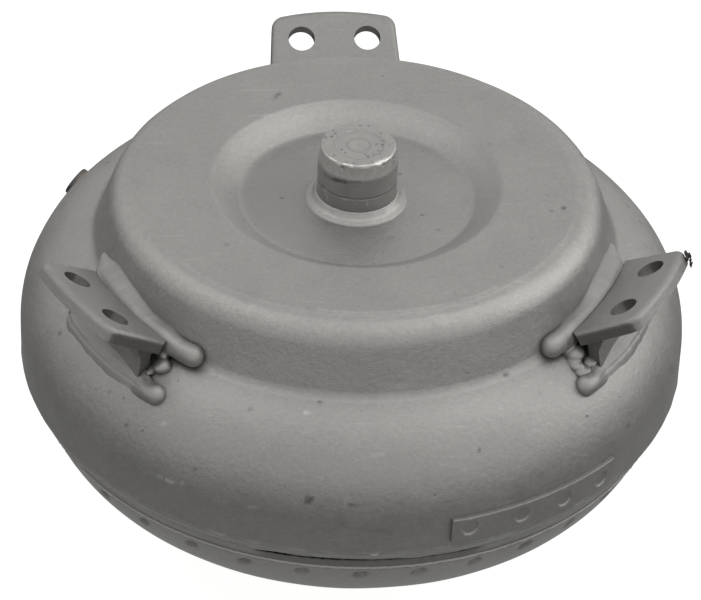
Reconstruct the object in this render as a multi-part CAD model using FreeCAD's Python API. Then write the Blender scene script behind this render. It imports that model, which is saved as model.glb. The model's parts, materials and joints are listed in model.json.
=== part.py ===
import FreeCAD, Part
import math
import os

# Torque converter with lock-up clutch.  Millimetres, +Z points from the
# transmission side to the engine side.  The origin lies on the axis of
# rotation, on the free end face of the pump drive hub.

V = FreeCAD.Vector
os.makedirs("parts", exist_ok=True)

# ---------------------------------------------------------------- dimensions
SEAM_Z = 84.0             # height of the closure seam above the origin

# front cover, profile given relative to the seam
COVER_R = 144.0           # outer wall radius (overall diameter 288)
COVER_T = 5.5             # sheet thickness
FLOOR_Z = 86.6            # centre floor, outer face
FLOOR_R = 50.0
RING_Z = 95.0             # raised flat ring, outer face
RING_R0 = 62.0
CROWN_VERTEX = (101.78, 95.0, 14.4)
VALLEY_VERTEX = (112.22, 66.31, 6.0)
BULGE_VERTEX = (144.0, 54.75, 43.2)
BULGE_C = (100.8, 24.5)   # centre of the bulge section
BULGE_R = 43.2
LIP_Z = 6.2               # lower lip of the skirt

# pilot
PILOT_R = 17.0
PILOT_TOP_Z = 113.5
PILOT_SPIGOT_R = 15.0
PILOT_FOOT_R = 18.2       # foot of the pilot, flared under its weld
PILOT_WALL_Z = 107.0      # end of the cylindrical wall; a ground lead-in follows
PILOT_NOSE_R = 15.8       # radius of the end face

# drive brackets
BRACKET_ANGLES = (90.0, 210.0, 330.0)
BRACKET_TILT = 32.0
BRACKET_T = 6.0
BRACKET_X = 129.0         # hole row, distance from the axis
BRACKET_Z = 83.7          # hole row, height of the plate's top face
HOLE_HALF = 15.0          # half spacing of the two holes
HOLE_R = 6.0
WEB_T = 4.5

# balance weight strip
WEIGHT_A0, WEIGHT_A1 = 282.0, 314.0
WEIGHT_Z0, WEIGHT_Z1 = 14.3, 26.1
WEIGHT_T = 1.9

# drain plug
PLUG_AZ = 147.8
PLUG_TH = 27.0

# torus
IMP_C = (91.0, 8.5)
IMP_R = 47.5              # impeller shell, outer section radius
IMP_T = 3.8
IMP_BLADES = 35
DIMPLE_AZ0 = 236.8
TUR_C = (91.0, 11.5)
TUR_R = 42.5
TUR_T = 2.2
TUR_BLADES = 33
CORE_R = 17.5
CORE_T = 1.2
BLADE_T = 1.0

# pump hub
HUB_R = 25.0
HUB_BORE_R = 20.0
HUB_FLANGE_R = 40.0
HUB_END_Z = -84.0
HUB_TOP_Z = -17.6

# stator and one-way clutch
STATOR_BLADES = 15
STATOR_HUB_R0, STATOR_HUB_R1 = 38.0, 50.0
STATOR_Z0, STATOR_Z1 = -13.0, 29.0
STATOR_RING_R0, STATOR_RING_R1 = 72.5, 74.6
RACE_IN_R = 26.0
ROLLER_R = 3.2
ROLLER_PITCH_R = 29.25
ROLLERS = 10

# turbine hub
THUB_R = 26.0
THUB_TOP_Z = 76.5

# lock-up clutch and damper
PISTON_T = 3.5
PISTON_FLAT_Z = 86.2
PISTON_TRAVEL = 0.8
LINING_R0, LINING_R1 = 73.0, 91.0
LINING_T = 2.5
SPRINGS = 8
SPRING_PITCH_R = 75.0
SPRING_Z = 68.0
SPRING_LEN = 38.0
SPRING_OD = 14.0
SPRING_WIRE = 3.0
INNER_SPRING_OD = 7.0
INNER_SPRING_WIRE = 1.8

AXIS = V(0, 0, 1)
O = V(0, 0, 0)


# ------------------------------------------------------------------- helpers
def chain(points):
    """Lines and tangent arcs from vertices (r, z[, fillet radius])."""
    pts = [(p[0], p[1], p[2] if len(p) > 2 else 0.0) for p in points]
    segs = []
    cur = pts[0][:2]
    for i in range(1, len(pts) - 1):
        a, b, c = pts[i - 1], pts[i], pts[i + 1]
        rad = b[2]
        if rad <= 0:
            segs.append(("L", cur, b[:2]))
            cur = b[:2]
            continue
        d1 = (b[0] - a[0], b[1] - a[1])
        n1 = math.hypot(*d1)
        d1 = (d1[0] / n1, d1[1] / n1)
        d2 = (c[0] - b[0], c[1] - b[1])
        n2 = math.hypot(*d2)
        d2 = (d2[0] / n2, d2[1] / n2)
        turn = math.atan2(d1[0] * d2[1] - d1[1] * d2[0], d1[0] * d2[0] + d1[1] * d2[1])
        t = rad * math.tan(abs(turn) / 2)
        s = (b[0] - d1[0] * t, b[1] - d1[1] * t)
        e = (b[0] + d2[0] * t, b[1] + d2[1] * t)
        side = 1.0 if turn > 0 else -1.0
        cen = (s[0] - d1[1] * rad * side, s[1] + d1[0] * rad * side)
        if math.hypot(s[0] - cur[0], s[1] - cur[1]) > 1e-3:
            segs.append(("L", cur, s))
        a0 = math.atan2(s[1] - cen[1], s[0] - cen[0])
        segs.append(("A", cen, rad, a0, a0 + turn))
        cur = e
    last = pts[-1][:2]
    if math.hypot(last[0] - cur[0], last[1] - cur[1]) > 1e-3:
        segs.append(("L", cur, last))
    return segs


def offset(segs, t):
    """The same chain moved by t to the right of its direction of travel."""
    out = []
    for s in segs:
        if s[0] == "L":
            dx, dy = s[2][0] - s[1][0], s[2][1] - s[1][1]
            n = math.hypot(dx, dy)
            nx, ny = dy / n * t, -dx / n * t
            out.append(("L", (s[1][0] + nx, s[1][1] + ny), (s[2][0] + nx, s[2][1] + ny)))
        else:
            r = s[2] + t if s[4] > s[3] else s[2] - t
            out.append(("A", s[1], r, s[3], s[4]))
    return out


def ends(s):
    if s[0] == "L":
        return s[1], s[2]
    c, r = s[1], s[2]
    return ((c[0] + r * math.cos(s[3]), c[1] + r * math.sin(s[3])),
            (c[0] + r * math.cos(s[4]), c[1] + r * math.sin(s[4])))


def backwards(segs):
    out = []
    for s in reversed(segs):
        if s[0] == "L":
            out.append(("L", s[2], s[1]))
        else:
            out.append(("A", s[1], s[2], s[4], s[3]))
    return out


def p3(p):
    return V(p[0], 0, p[1])


def section(*chains):
    """A face in the XZ plane from chains; gaps are closed by lines."""
    edges = []
    first = prev = None
    for segs in chains:
        for s in segs:
            a, b = ends(s)
            if prev is None:
                first = a
            elif math.hypot(a[0] - prev[0], a[1] - prev[1]) > 1e-6:
                edges.append(Part.makeLine(p3(prev), p3(a)))
            if s[0] == "L":
                edges.append(Part.makeLine(p3(a), p3(b)))
            else:
                m = (s[3] + s[4]) / 2
                c, r = s[1], s[2]
                mid = (c[0] + r * math.cos(m), c[1] + r * math.sin(m))
                edges.append(Part.Arc(p3(a), p3(mid), p3(b)).toShape())
            prev = b
    if math.hypot(first[0] - prev[0], first[1] - prev[1]) > 1e-6:
        edges.append(Part.makeLine(p3(prev), p3(first)))
    return Part.Face(Part.Wire(edges))


def turn(face, angle=360.0, start=0.0):
    s = face.revolve(O, AXIS, angle)
    if start:
        s.rotate(O, AXIS, start)
    return s


def sheet(points, t):
    o = chain(points)
    return turn(section(o, backwards(offset(o, t))))


def lathe(points):
    """Solid of revolution from a closed list of (r, z[, fillet radius])."""
    if len(points[0]) > 2 or len(points[-1]) > 2:
        raise ValueError("first and last point carry no fillet")
    return turn(section(chain(points)))


def ring(r0, r1, z0, z1, angle=360.0, start=0.0):
    return turn(section([("L", (r0, z0), (r1, z0)), ("L", (r1, z0), (r1, z1)),
                         ("L", (r1, z1), (r0, z1))]), angle, start)


def cyl(r, h, at, direction):
    return Part.makeCylinder(r, h, at, direction)


def polar(shape, n, start=0.0):
    out = []
    for i in range(n):
        s = shape.copy()
        s.rotate(O, AXIS, start + 360.0 * i / n)
        out.append(s)
    return out


def az(shape, angle):
    s = shape.copy()
    s.rotate(O, AXIS, angle)
    return s


def group(shapes):
    return Part.makeCompound(shapes)


def biggest(shape):
    return max(shape.Solids, key=lambda s: s.Volume)


def put(name, shape):
    sols = shape.Solids
    for s in sols:
        if not s.isValid() or s.Volume <= 0:
            print("BAD SOLID in", name, s.isValid(), s.Volume)
    out = sols[0] if len(sols) == 1 else Part.makeCompound(sols)
    out = out.copy()
    out.translate(V(0, 0, SEAM_Z))
    out.exportStep("parts/%s.step" % name)
    bb = out.BoundBox
    print("%-28s %3d solids  vol %10.1f  z %7.2f..%7.2f  r<=%6.2f" % (
        name, len(sols), sum(s.Volume for s in sols), bb.ZMin, bb.ZMax,
        max(abs(bb.XMin), abs(bb.XMax), abs(bb.YMin), abs(bb.YMax))))


def splined_bore(r_minor, r_major, teeth, z0, z1):
    """Cutter for an internal spline: a bore with straight-sided slots."""
    core = Part.makeCylinder(r_minor, z1 - z0, V(0, 0, z0))
    half = math.radians(180.0 / teeth * 0.5)
    pts = []
    for i in range(teeth):
        a = 2 * math.pi * i / teeth
        for da, r in ((-half * 1.25, r_minor - 0.4), (-half * 0.8, r_major),
                      (half * 0.8, r_major), (half * 1.25, r_minor - 0.4)):
            pts.append(V(r * math.cos(a + da), r * math.sin(a + da), z0))
    star = Part.Face(Part.makePolygon(pts + [pts[0]])).extrude(V(0, 0, z1 - z0))
    return core.fuse(star).removeSplitter()


# --------------------------------------------------------------- front cover
cover_outer = chain([
    (PILOT_SPIGOT_R, FLOOR_Z), (FLOOR_R, FLOOR_Z, 4.0), (RING_R0, RING_Z, 4.0),
    CROWN_VERTEX, VALLEY_VERTEX, BULGE_VERTEX, (COVER_R, 11.0)])
cover_inner = backwards(offset(cover_outer, COVER_T))
lip = chain([(COVER_R, 11.0), (COVER_R, 9.4, 4.0), (141.6, LIP_Z, 1.4),
             (COVER_R - COVER_T, LIP_Z), (COVER_R - COVER_T, 11.0)])
front_cover = turn(section(cover_outer, lip, cover_inner))
# the cover's outside as a filled body, for trimming what sits on it
filled = turn(section([("L", (0.0, LIP_Z), (0.0, FLOOR_Z)), ("L", (0.0, FLOOR_Z), (PILOT_SPIGOT_R, FLOOR_Z))],
                      cover_outer, [("L", (COVER_R, 11.0), (COVER_R, LIP_Z))]))

th = math.radians(PLUG_TH)
plug_dir = V(math.cos(th), 0, math.sin(th))
plug_base = V(BULGE_C[0], 0, BULGE_C[1])


def on_plug(d):
    return plug_base + plug_dir * d


SPOT_D = BULGE_R - 0.6
spot = az(cyl(7.6, 6.0, on_plug(SPOT_D), plug_dir), PLUG_AZ)
thread_hole = az(cyl(4.0, 12.0, on_plug(BULGE_R - 9.0), plug_dir), PLUG_AZ)
front_cover = front_cover.cut(spot).cut(thread_hole)
filled = filled.cut(spot)
put("front_cover", front_cover)

seal = az(cyl(6.9, 1.0, on_plug(SPOT_D), plug_dir).cut(cyl(4.0, 2.0, on_plug(SPOT_D - 0.5), plug_dir)), PLUG_AZ)
put("drain_plug_seal", seal)
head = cyl(6.75, 1.5, on_plug(SPOT_D + 1.0), plug_dir)
head = head.makeChamfer(0.4, [e for e in head.Edges if e.Curve.TypeId == "Part::GeomCircle"
                              and (e.CenterOfMass - on_plug(SPOT_D + 2.5)).Length < 0.1])
shank = cyl(4.0, 8.5, on_plug(SPOT_D - 7.5), plug_dir)
plug = head.fuse(shank).removeSplitter()
hexpts = []
side = V(0, 1, 0)
up2 = plug_dir.cross(side)
for i in range(6):
    a = math.radians(60 * i)
    hexpts.append(on_plug(SPOT_D - 2.0) + side * (2.9 * math.cos(a)) + up2 * (2.9 * math.sin(a)))
hexcut = Part.Face(Part.makePolygon(hexpts + [hexpts[0]])).extrude(plug_dir * 6.0)
put("drain_plug", az(plug.cut(hexcut), PLUG_AZ))

# --------------------------------------------------------------------- pilot
pilot = lathe([(0, FLOOR_Z - COVER_T), (PILOT_SPIGOT_R, FLOOR_Z - COVER_T), (PILOT_SPIGOT_R, FLOOR_Z),
               (PILOT_FOOT_R, FLOOR_Z), (PILOT_R, FLOOR_Z + 4.0), (PILOT_R, PILOT_WALL_Z), (PILOT_NOSE_R + 0.35, PILOT_TOP_Z - 0.5),
               (PILOT_NOSE_R - 0.1, PILOT_TOP_Z), (2.6, PILOT_TOP_Z), (0, PILOT_TOP_Z - 2.4)])
put("pilot_boss", pilot)
PWELD_Z = 90.2
pweld_r = PILOT_FOOT_R - (PILOT_FOOT_R - PILOT_R) * (PWELD_Z - FLOOR_Z) / 4.0
pweld = turn(section([("L", (pweld_r, PWELD_Z), (PILOT_FOOT_R, FLOOR_Z)), ("L", (PILOT_FOOT_R, FLOOR_Z), (21.6, FLOOR_Z))],
                     chain([(21.6, FLOOR_Z), (21.3, 87.1), (19.2, 88.0, 3.0), (17.7, PWELD_Z), (pweld_r, PWELD_Z)])))
put("pilot_weld", pweld)

# ------------------------------------------------------------ drive brackets
ct, st = math.cos(math.radians(BRACKET_TILT)), math.sin(math.radians(BRACKET_TILT))
BU, BW = V(ct, 0, st), V(-st, 0, ct)
BO = V(BRACKET_X, 0, BRACKET_Z)


def bp(u, v, w=0.0):
    return BO + BU * u + V(0, v, 0) + BW * w


# plate in its own plane: u outwards, v tangential, top face at w = 0
def flat_cyl(u0, r):
    return Part.makeCylinder(r, BRACKET_T, V(u0, 0, -BRACKET_T))


wedge_pts = [V(-25.0, -30.37, -BRACKET_T), V(16.0, -27.67, -BRACKET_T), V(16.0, 27.67, -BRACKET_T),
             V(-25.0, 30.37, -BRACKET_T)]
wedge = Part.Face(Part.makePolygon(wedge_pts + [wedge_pts[0]])).extrude(V(0, 0, BRACKET_T))
plate = wedge.common(flat_cyl(-105.1, 119.4)).cut(flat_cyl(-114.84, 100.1))
upright = [e for e in plate.Edges if abs(abs(e.Vertexes[0].Z - e.Vertexes[-1].Z) - BRACKET_T) < 1e-6]
plate = plate.makeFillet(6.0, [e for e in upright if e.CenterOfMass.x > 0])
upright = [e for e in plate.Edges if len(e.Vertexes) == 2
           and abs(abs(e.Vertexes[0].Z - e.Vertexes[-1].Z) - BRACKET_T) < 1e-6]
plate = plate.makeChamfer(2.0, [e for e in upright if e.CenterOfMass.x < -15])
rim = [e for e in plate.Edges if all(abs(v.Z) < 1e-6 for v in e.Vertexes) and e.CenterOfMass.x > -17.0
       and not (e.CenterOfMass.x < -10 and abs(e.CenterOfMass.y) < 20)]
plate = plate.makeFillet(2.4, rim)
place = FreeCAD.Matrix(BU.x, 0, BW.x, BO.x, 0, 1, 0, 0, BU.z, 0, BW.z, BO.z, 0, 0, 0, 1)
plate = plate.transformed(place, True)


def w3(u, w):
    return bp(u, 0, w)


web_top = w3(-12.6, -BRACKET_T)
web_foot = V(124.9, 0, 50.0)
wd = (web_foot - web_top).normalize()
wn = V(-wd.z, 0, wd.x)           # points outwards from the axis
if wn.x < 0:
    wn = wn * -1
wpts = [w3(-17.3, -BRACKET_T + 1.5), w3(-17.0, -BRACKET_T), web_top + wd * 3.2 - wn * (WEB_T / 2),
        web_foot - wn * (WEB_T / 2 + 0.6), web_foot + wn * (WEB_T / 2 + 0.6),
        web_top + wd * 5.0 + wn * (WEB_T / 2), w3(-6.9, -BRACKET_T), w3(-6.9, -BRACKET_T + 1.5)]
wpts = [V(p.x, -27.4, p.z) for p in wpts]
web = Part.Face(Part.makePolygon(wpts + [wpts[0]])).extrude(V(0, 54.8, 0))
bracket = plate.fuse(web).removeSplitter()
for v in (-HOLE_HALF, HOLE_HALF):
    bracket = bracket.cut(cyl(HOLE_R, 30.0, bp(0, v, 6.0), BW * -1))
filled_local = filled            # a body of revolution but for the plug seat
bracket = biggest(bracket.cut(filled_local))
for i, a in enumerate(BRACKET_ANGLES):
    put("drive_bracket_%d" % (i + 1), az(bracket, a))


def bead(rc, zc, rad, half):
    face = Part.Face(Part.Wire([Part.makeCircle(rad, V(rc, 0, zc), V(0, 1, 0))]))
    s = turn(face, 2 * half, -half)
    for k in (-half, half):
        a = math.radians(k)
        s = s.fuse(Part.makeSphere(rad, V(rc * math.cos(a), rc * math.sin(a), zc)))
    return biggest(s.removeSplitter().cut(filled_local).cut(bracket))


upper = bead(113.9, 69.9, 5.4, 18.0)
lower = bead(130.3, 56.4, 5.5, 14.7)
put("bracket_upper_welds", group([az(upper, a) for a in BRACKET_ANGLES]))
put("bracket_lower_welds", group([az(lower, a) for a in BRACKET_ANGLES]))

# ------------------------------------------------------------ balance weight
wgt = ring(COVER_R - 1.0, COVER_R + WEIGHT_T, WEIGHT_Z0, WEIGHT_Z1, WEIGHT_A1 - WEIGHT_A0, 0.0)
for a in (3.4, 12.8, 21.2, 29.3):
    ra = math.radians(a)
    d = V(math.cos(ra), math.sin(ra), 0)
    wgt = wgt.cut(cyl(3.3, 4.0, d * (COVER_R + WEIGHT_T - 0.55) + V(0, 0, 20.0), d))
wgt = biggest(az(wgt, WEIGHT_A0).cut(filled))
put("balance_weight", wgt)

# ------------------------------------------------------------------ impeller
imp_outer = [
    (COVER_R - COVER_T, 14.0), (IMP_C[0] + IMP_R, IMP_C[1] - IMP_R, IMP_R),
    (IMP_C[0] - IMP_R * math.tan(math.radians(15)), IMP_C[1] - IMP_R, IMP_R - 0.0005),
    (58.42, -27.5, 8.0), (HUB_FLANGE_R, -27.5)]
impeller = sheet(imp_outer, IMP_T)
zd = -8.0
rd = IMP_C[0] + math.sqrt(IMP_R ** 2 - (zd - IMP_C[1]) ** 2)
nd = V(rd - IMP_C[0], 0, zd - IMP_C[1]).normalize()
notch = Part.makeBox(3.0, 6.4, 2.2, V(-1.3, -3.2, -1.1))
notch.rotate(O, V(1, 0, 0), 24.0)
notch.rotate(O, V(0, 1, 0), -math.degrees(math.atan2(nd.z, nd.x)))
notch.translate(V(rd, 0, zd) + nd * 0.0)
impeller = impeller.cut(group(polar(notch, IMP_BLADES, DIMPLE_AZ0)))
put("impeller_shell", impeller)


def shell_r(z):
    return IMP_C[0] + math.sqrt(IMP_R ** 2 - (z - IMP_C[1]) ** 2)


ang = lambda z: math.asin((z - IMP_C[1]) / IMP_R)
cweld = turn(section([("A", IMP_C, IMP_R, ang(-3.3), ang(LIP_Z))],
                     [("L", (shell_r(LIP_Z), LIP_Z), (139.7, LIP_Z)), ("L", (139.7, LIP_Z), (138.25, 0.4)),
                      ("L", (138.25, 0.4), (137.95, -2.0)), ("L", (137.95, -2.0), (137.75, -3.3))]))
put("closure_weld", cweld)


def blades(cen, r_in, r_out, a0, a1, n, lean, start):
    """Curved vanes between a core ring and a shell; lean is the azimuth along the vane."""
    wires = []
    steps = 9
    for k in range(steps):
        t = k / (steps - 1)
        a = math.radians(a0 + (a1 - a0) * t)
        ph = math.radians(lean(t))
        rad = V(math.cos(ph), math.sin(ph), 0)
        tan = V(-math.sin(ph), math.cos(ph), 0) * (BLADE_T / 2)
        p_in = rad * (cen[0] + r_in * math.cos(a)) + V(0, 0, cen[1] + r_in * math.sin(a))
        p_out = rad * (cen[0] + r_out * math.cos(a)) + V(0, 0, cen[1] + r_out * math.sin(a))
        wires.append(Part.makePolygon([p_in - tan, p_out - tan, p_out + tan, p_in + tan, p_in - tan]))
    one = Part.makeLoft(wires, True, False)
    return group(polar(one, n, start))


put("impeller_blades", blades(IMP_C, CORE_R + 0.45, IMP_R - IMP_T - 0.45, -3.0, -138.0, IMP_BLADES,
                              lambda t: 9.0 * t * t, DIMPLE_AZ0))


def core(cen, a0, a1):
    return turn(section([("A", cen, CORE_R, math.radians(a0), math.radians(a1))],
                        [("A", cen, CORE_R - CORE_T, math.radians(a1), math.radians(a0))]))


put("impeller_core_ring", core(IMP_C, -3.0, -140.0))

hub = lathe([(HUB_BORE_R, HUB_END_Z + 1.0), (HUB_BORE_R + 1.0, HUB_END_Z), (HUB_R, HUB_END_Z), (HUB_R, -36.0), (HUB_R + 4.0, -31.5), (HUB_FLANGE_R, -31.5),
             (HUB_FLANGE_R, -21.0), (HUB_FLANGE_R - 3.4, HUB_TOP_Z), (HUB_BORE_R, HUB_TOP_Z)])
slot = Part.makeBox(70.0, 11.0, 13.0, V(-35.0, -5.5, HUB_END_Z - 1.0))
hub = hub.cut(slot)
put("pump_hub", hub)
hweld = lathe([(HUB_FLANGE_R, -27.5), (HUB_FLANGE_R, -31.2), (41.4, -30.4, 2.0), (44.0, -28.0), (44.2, -27.5)])
put("hub_weld", hweld)

# ------------------------------------------------------------------- turbine
tur_outer = [
    (TUR_C[0] + TUR_R, 9.5), (TUR_C[0] + TUR_R, TUR_C[1] + TUR_R, TUR_R),
    (TUR_C[0] - TUR_R * math.tan(math.radians(22.5)), TUR_C[1] + TUR_R, TUR_R - 0.0005),
    (59.75, 40.35, 2.8), (THUB_R, 40.35)]
turbine = sheet(tur_outer, -TUR_T)
turbine = turbine.cut(group(polar(cyl(2.5, 20.0, V(42.0, 0, 30.0), AXIS), 8)))
put("turbine_shell", turbine)
put("turbine_blades", blades(TUR_C, CORE_R + 0.45, TUR_R - TUR_T - 0.45, 4.0, 133.0, TUR_BLADES,
                             lambda t: 16.0 * math.sin(math.pi * t) - 8.0 * t, 0.0))
put("turbine_core_ring", core(TUR_C, 4.0, 140.0))

thub = lathe([(13.6, 33.6), (50.0, 33.6), (50.0, 38.15), (THUB_R, 38.15), (THUB_R, 60.0), (42.0, 60.0),
              (42.0, 65.5), (THUB_R, 65.5), (THUB_R, 73.0), (23.6, 73.0), (23.6, 75.4), (THUB_R, 75.4),
              (THUB_R, THUB_TOP_Z), (15.6, THUB_TOP_Z), (15.6, 62.0), (13.6, 62.0)])
thub = thub.cut(splined_bore(13.6, 15.0, 22, 32.0, 61.9))
thub = thub.cut(group(polar(cyl(2.5, 20.0, V(42.0, 0, 30.0), AXIS), 8)
                      + polar(cyl(2.5, 20.0, V(35.5, 0, 55.0), AXIS), 8, 22.5)))
put("turbine_hub", thub)


def rivet(r, z0, z1, rs, rh, h):
    s = cyl(rs, z1 - z0, V(r, 0, z0), AXIS)
    s = s.fuse(Part.makeCone(rh * 0.7, rh, h, V(r, 0, z0 - h), AXIS))
    s = s.fuse(Part.makeCone(rh, rh * 0.7, h, V(r, 0, z1), AXIS))
    return s.removeSplitter()


put("turbine_rivets", group(polar(rivet(42.0, 33.6, 40.35, 2.5, 4.0, 1.6), 8)))

# lock-up damper: driven disc on the turbine hub
DISC_Z0, DISC_Z1 = 65.5, 70.5
disc = ring(THUB_R, 88.5, DISC_Z0, DISC_Z1)


def window(r0, r1, half, z0, z1):
    return Part.makeBox(r1 - r0, 2 * half, z1 - z0, V(r0, -half, z0))


disc = disc.cut(group(polar(window(67.5, 82.5, SPRING_LEN / 2 + 0.05, 60.0, 80.0), SPRINGS)
                      + polar(cyl(2.5, 20.0, V(35.5, 0, 60.0), AXIS), 8, 22.5)
                      + polar(cyl(7.0, 20.0, V(55.0, 0, 60.0), AXIS), 6)))
put("damper_driven_disc", disc)
put("damper_disc_rivets", group(polar(rivet(35.5, 60.0, 70.5, 2.5, 4.0, 1.5), 8, 22.5)))
put("piston_inner_seal", ring(23.7, 25.97, 73.05, 75.35))

# damper side plates, riveted together around the disc
TAB_HALF = 9.3
PLATE_R = 95.2


def side_plate(z0, z1, tabs):
    s = ring(58.0, PLATE_R, z0, z1)
    if tabs:
        for k in range(SPRINGS):
            s = s.fuse(ring(PLATE_R - 2.0, 98.0, z0, z1, 2 * TAB_HALF, 22.5 - TAB_HALF + 360.0 / SPRINGS * k))
        s = s.removeSplitter()
    return s.cut(group(polar(window(68.3, 81.7, SPRING_LEN / 2 + 0.05, z0 - 2, z1 + 2), SPRINGS)
                       + polar(cyl(2.2, 20.0, V(91.8, 0, 60.0), AXIS), SPRINGS, 22.5)))


put("damper_front_plate", side_plate(70.8, 73.3, True))
put("damper_rear_plate", side_plate(62.7, 65.2, False))
one = cyl(2.2, 10.6, V(91.8, 0, 62.7), AXIS)
one = one.fuse(cyl(2.9, 5.6, V(91.8, 0, 65.2), AXIS))
one = one.fuse(Part.makeCone(2.2, 3.2, 1.4, V(91.8, 0, 61.3), AXIS))
one = one.fuse(Part.makeCone(3.2, 2.2, 1.4, V(91.8, 0, 73.3), AXIS)).removeSplitter()
put("damper_plate_rivets", group(polar(one, SPRINGS, 22.5)))


def coil(od, wire, turns):
    h = SPRING_LEN - wire
    helix = Part.makeHelix(h / turns, h, (od - wire) / 2)
    start = V((od - wire) / 2, 0, 0)
    circ = Part.Wire([Part.makeCircle(wire / 2, start, V(0, 1, 0))])
    s = Part.Wire(helix).makePipeShell([circ], True, True)
    s = Part.Solid(s) if s.ShapeType != "Solid" else s
    s.translate(V(0, 0, -h / 2))
    s.rotate(O, V(1, 0, 0), 90.0)
    s.translate(V(SPRING_PITCH_R, 0, SPRING_Z))
    return s


put("damper_springs", group(polar(coil(SPRING_OD, SPRING_WIRE, 6.5), SPRINGS)))
put("damper_inner_springs", group(polar(coil(INNER_SPRING_OD, INNER_SPRING_WIRE, 9.5), SPRINGS)))

# lock-up piston
top = chain([(THUB_R + 0.05, 78.0), (50.5, 78.0, 5.0), (62.5, PISTON_FLAT_Z, 6.0),
             (98.5, PISTON_FLAT_Z, 5.0), (98.5, 74.0)])
piston = turn(section(top, backwards(offset(top, PISTON_T))))
piston = piston.fuse(ring(THUB_R + 0.05, 30.0, 71.2, 78.0))
lug_half = 22.5 - TAB_HALF - 0.2
for k in range(SPRINGS):
    piston = piston.fuse(ring(98.5 - PISTON_T + 0.4, 98.5, 69.8, 74.0, 2 * lug_half, -lug_half + 360.0 / SPRINGS * k))
piston = piston.removeSplitter()
put("lockup_piston", piston)
put("friction_lining", ring(LINING_R0, LINING_R1, PISTON_FLAT_Z, PISTON_FLAT_Z + LINING_T))

# -------------------------------------------------------------------- stator
stator = ring(STATOR_HUB_R0, STATOR_HUB_R1, STATOR_Z0, STATOR_Z1)
stator = stator.fuse(ring(STATOR_RING_R0, STATOR_RING_R1, -2.0, 20.0))


def vane():
    n = 9
    up, dn = [], []
    for k in range(n + 1):
        t = k / n
        z = 20.5 - 24.0 * t
        y = 4.0 - 19.0 * (t ** 1.7)
        h = 5.2 * math.sqrt(max(t, 0.0)) * (1 - t) * 1.55 + 0.35
        up.append((y + h * 0.62, z))
        dn.append((y - h * 0.62, z))
    pts = [V(46.0, a, b) for a, b in up + dn[::-1]]
    f = Part.Face(Part.makePolygon(pts + [pts[0]]))
    s = f.extrude(V(30.0, 0, 0))
    return s.common(ring(STATOR_HUB_R1 - 0.8, STATOR_RING_R0 + 0.8, -12.0, 28.0))


for s in polar(vane(), STATOR_BLADES):
    stator = stator.fuse(s)
stator = stator.removeSplitter()
stator = stator.cut(ring(STATOR_HUB_R0 - 1.0, 39.6, 27.0, 28.6))
put("stator_wheel", stator)
put("stator_snap_ring", ring(34.6, 39.5, 27.0, 28.6, 340.0, 10.0))
put("stator_rear_washer", ring(21.0, STATOR_HUB_R0, -13.0, -9.0))
put("stator_front_washer", lathe([(21.0, 25.0), (STATOR_HUB_R0, 25.0), (STATOR_HUB_R0, 27.0), (34.3, 27.0),
                                  (34.3, 29.0), (21.0, 29.0)]))

outer_race = ring(30.6, STATOR_HUB_R0, -9.0, 25.0)
pocket = cyl(ROLLER_R + 0.2, 40.0, V(ROLLER_PITCH_R + 0.1, 0, -12.0), AXIS)
pocket = pocket.fuse(Part.makeBox(4.6, 9.0, 40.0, V(28.0, 0.0, -12.0)))
outer_race = outer_race.cut(group(polar(pocket, ROLLERS)))
put("clutch_outer_race", outer_race)
put("clutch_rollers", group(polar(cyl(ROLLER_R, 30.0, V(ROLLER_PITCH_R, 0, -7.0), AXIS), ROLLERS)))


def accordion():
    """Folded strip spring that pushes a roller up its ramp."""
    y0, y1 = 3.55, 8.6
    pts_a, pts_b = [], []
    n = 6
    for k in range(n + 1):
        y = y0 + (y1 - y0) * k / n
        x = 28.4 if k % 2 else 30.9
        pts_a.append((x, y))
        pts_b.append((x + 1.0, y))
    pts = [V(a, b, -2.0) for a, b in pts_a + pts_b[::-1]]
    return Part.Face(Part.makePolygon(pts + [pts[0]])).extrude(V(0, 0, 20.0))


put("clutch_springs", group(polar(accordion(), ROLLERS)))
inner_race = ring(17.9, RACE_IN_R, -8.8, 24.8).cut(splined_bore(18.0, 19.3, 24, -10.0, 26.0))
put("clutch_inner_race", inner_race)


# ------------------------------------------------------------ needle bearings
def needle_bearing(name_low, name_high, name_cage, name_needles, z, r0, r1, n):
    """Two flat races, 2.6 apart, with a cage and radial needles between them."""
    put(name_low, ring(r0, r1, z, z + 1.0))
    put(name_high, ring(r0, r1, z + 3.6, z + 4.6))
    mid = z + 2.3
    cage = ring(r0 + 0.6, r1 - 0.6, mid - 0.7, mid + 0.7)
    slots = polar(Part.makeBox(r1 - r0 - 4.0, 2.7, 3.0, V(r0 + 2.0, -1.35, mid - 1.5)), n)
    put(name_cage, cage.cut(group(slots)))
    put(name_needles, group(polar(cyl(1.25, r1 - r0 - 4.2, V(r0 + 2.1, 0, mid), V(1, 0, 0)), n)))


needle_bearing("pump_bearing_rear_race", "pump_bearing_front_race", "pump_bearing_cage",
               "pump_bearing_needles", -17.6, 23.0, 34.0, 26)
needle_bearing("turbine_bearing_rear_race", "turbine_bearing_front_race", "turbine_bearing_cage",
               "turbine_bearing_needles", 29.0, 23.0, 34.0, 26)
needle_bearing("cover_bearing_rear_race", "cover_bearing_front_race", "cover_bearing_cage",
               "cover_bearing_needles", 76.5, 16.5, 24.0, 20)
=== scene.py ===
import json
import math

import bpy
import numpy as np
from mathutils import Matrix, Quaternion, Vector

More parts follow.
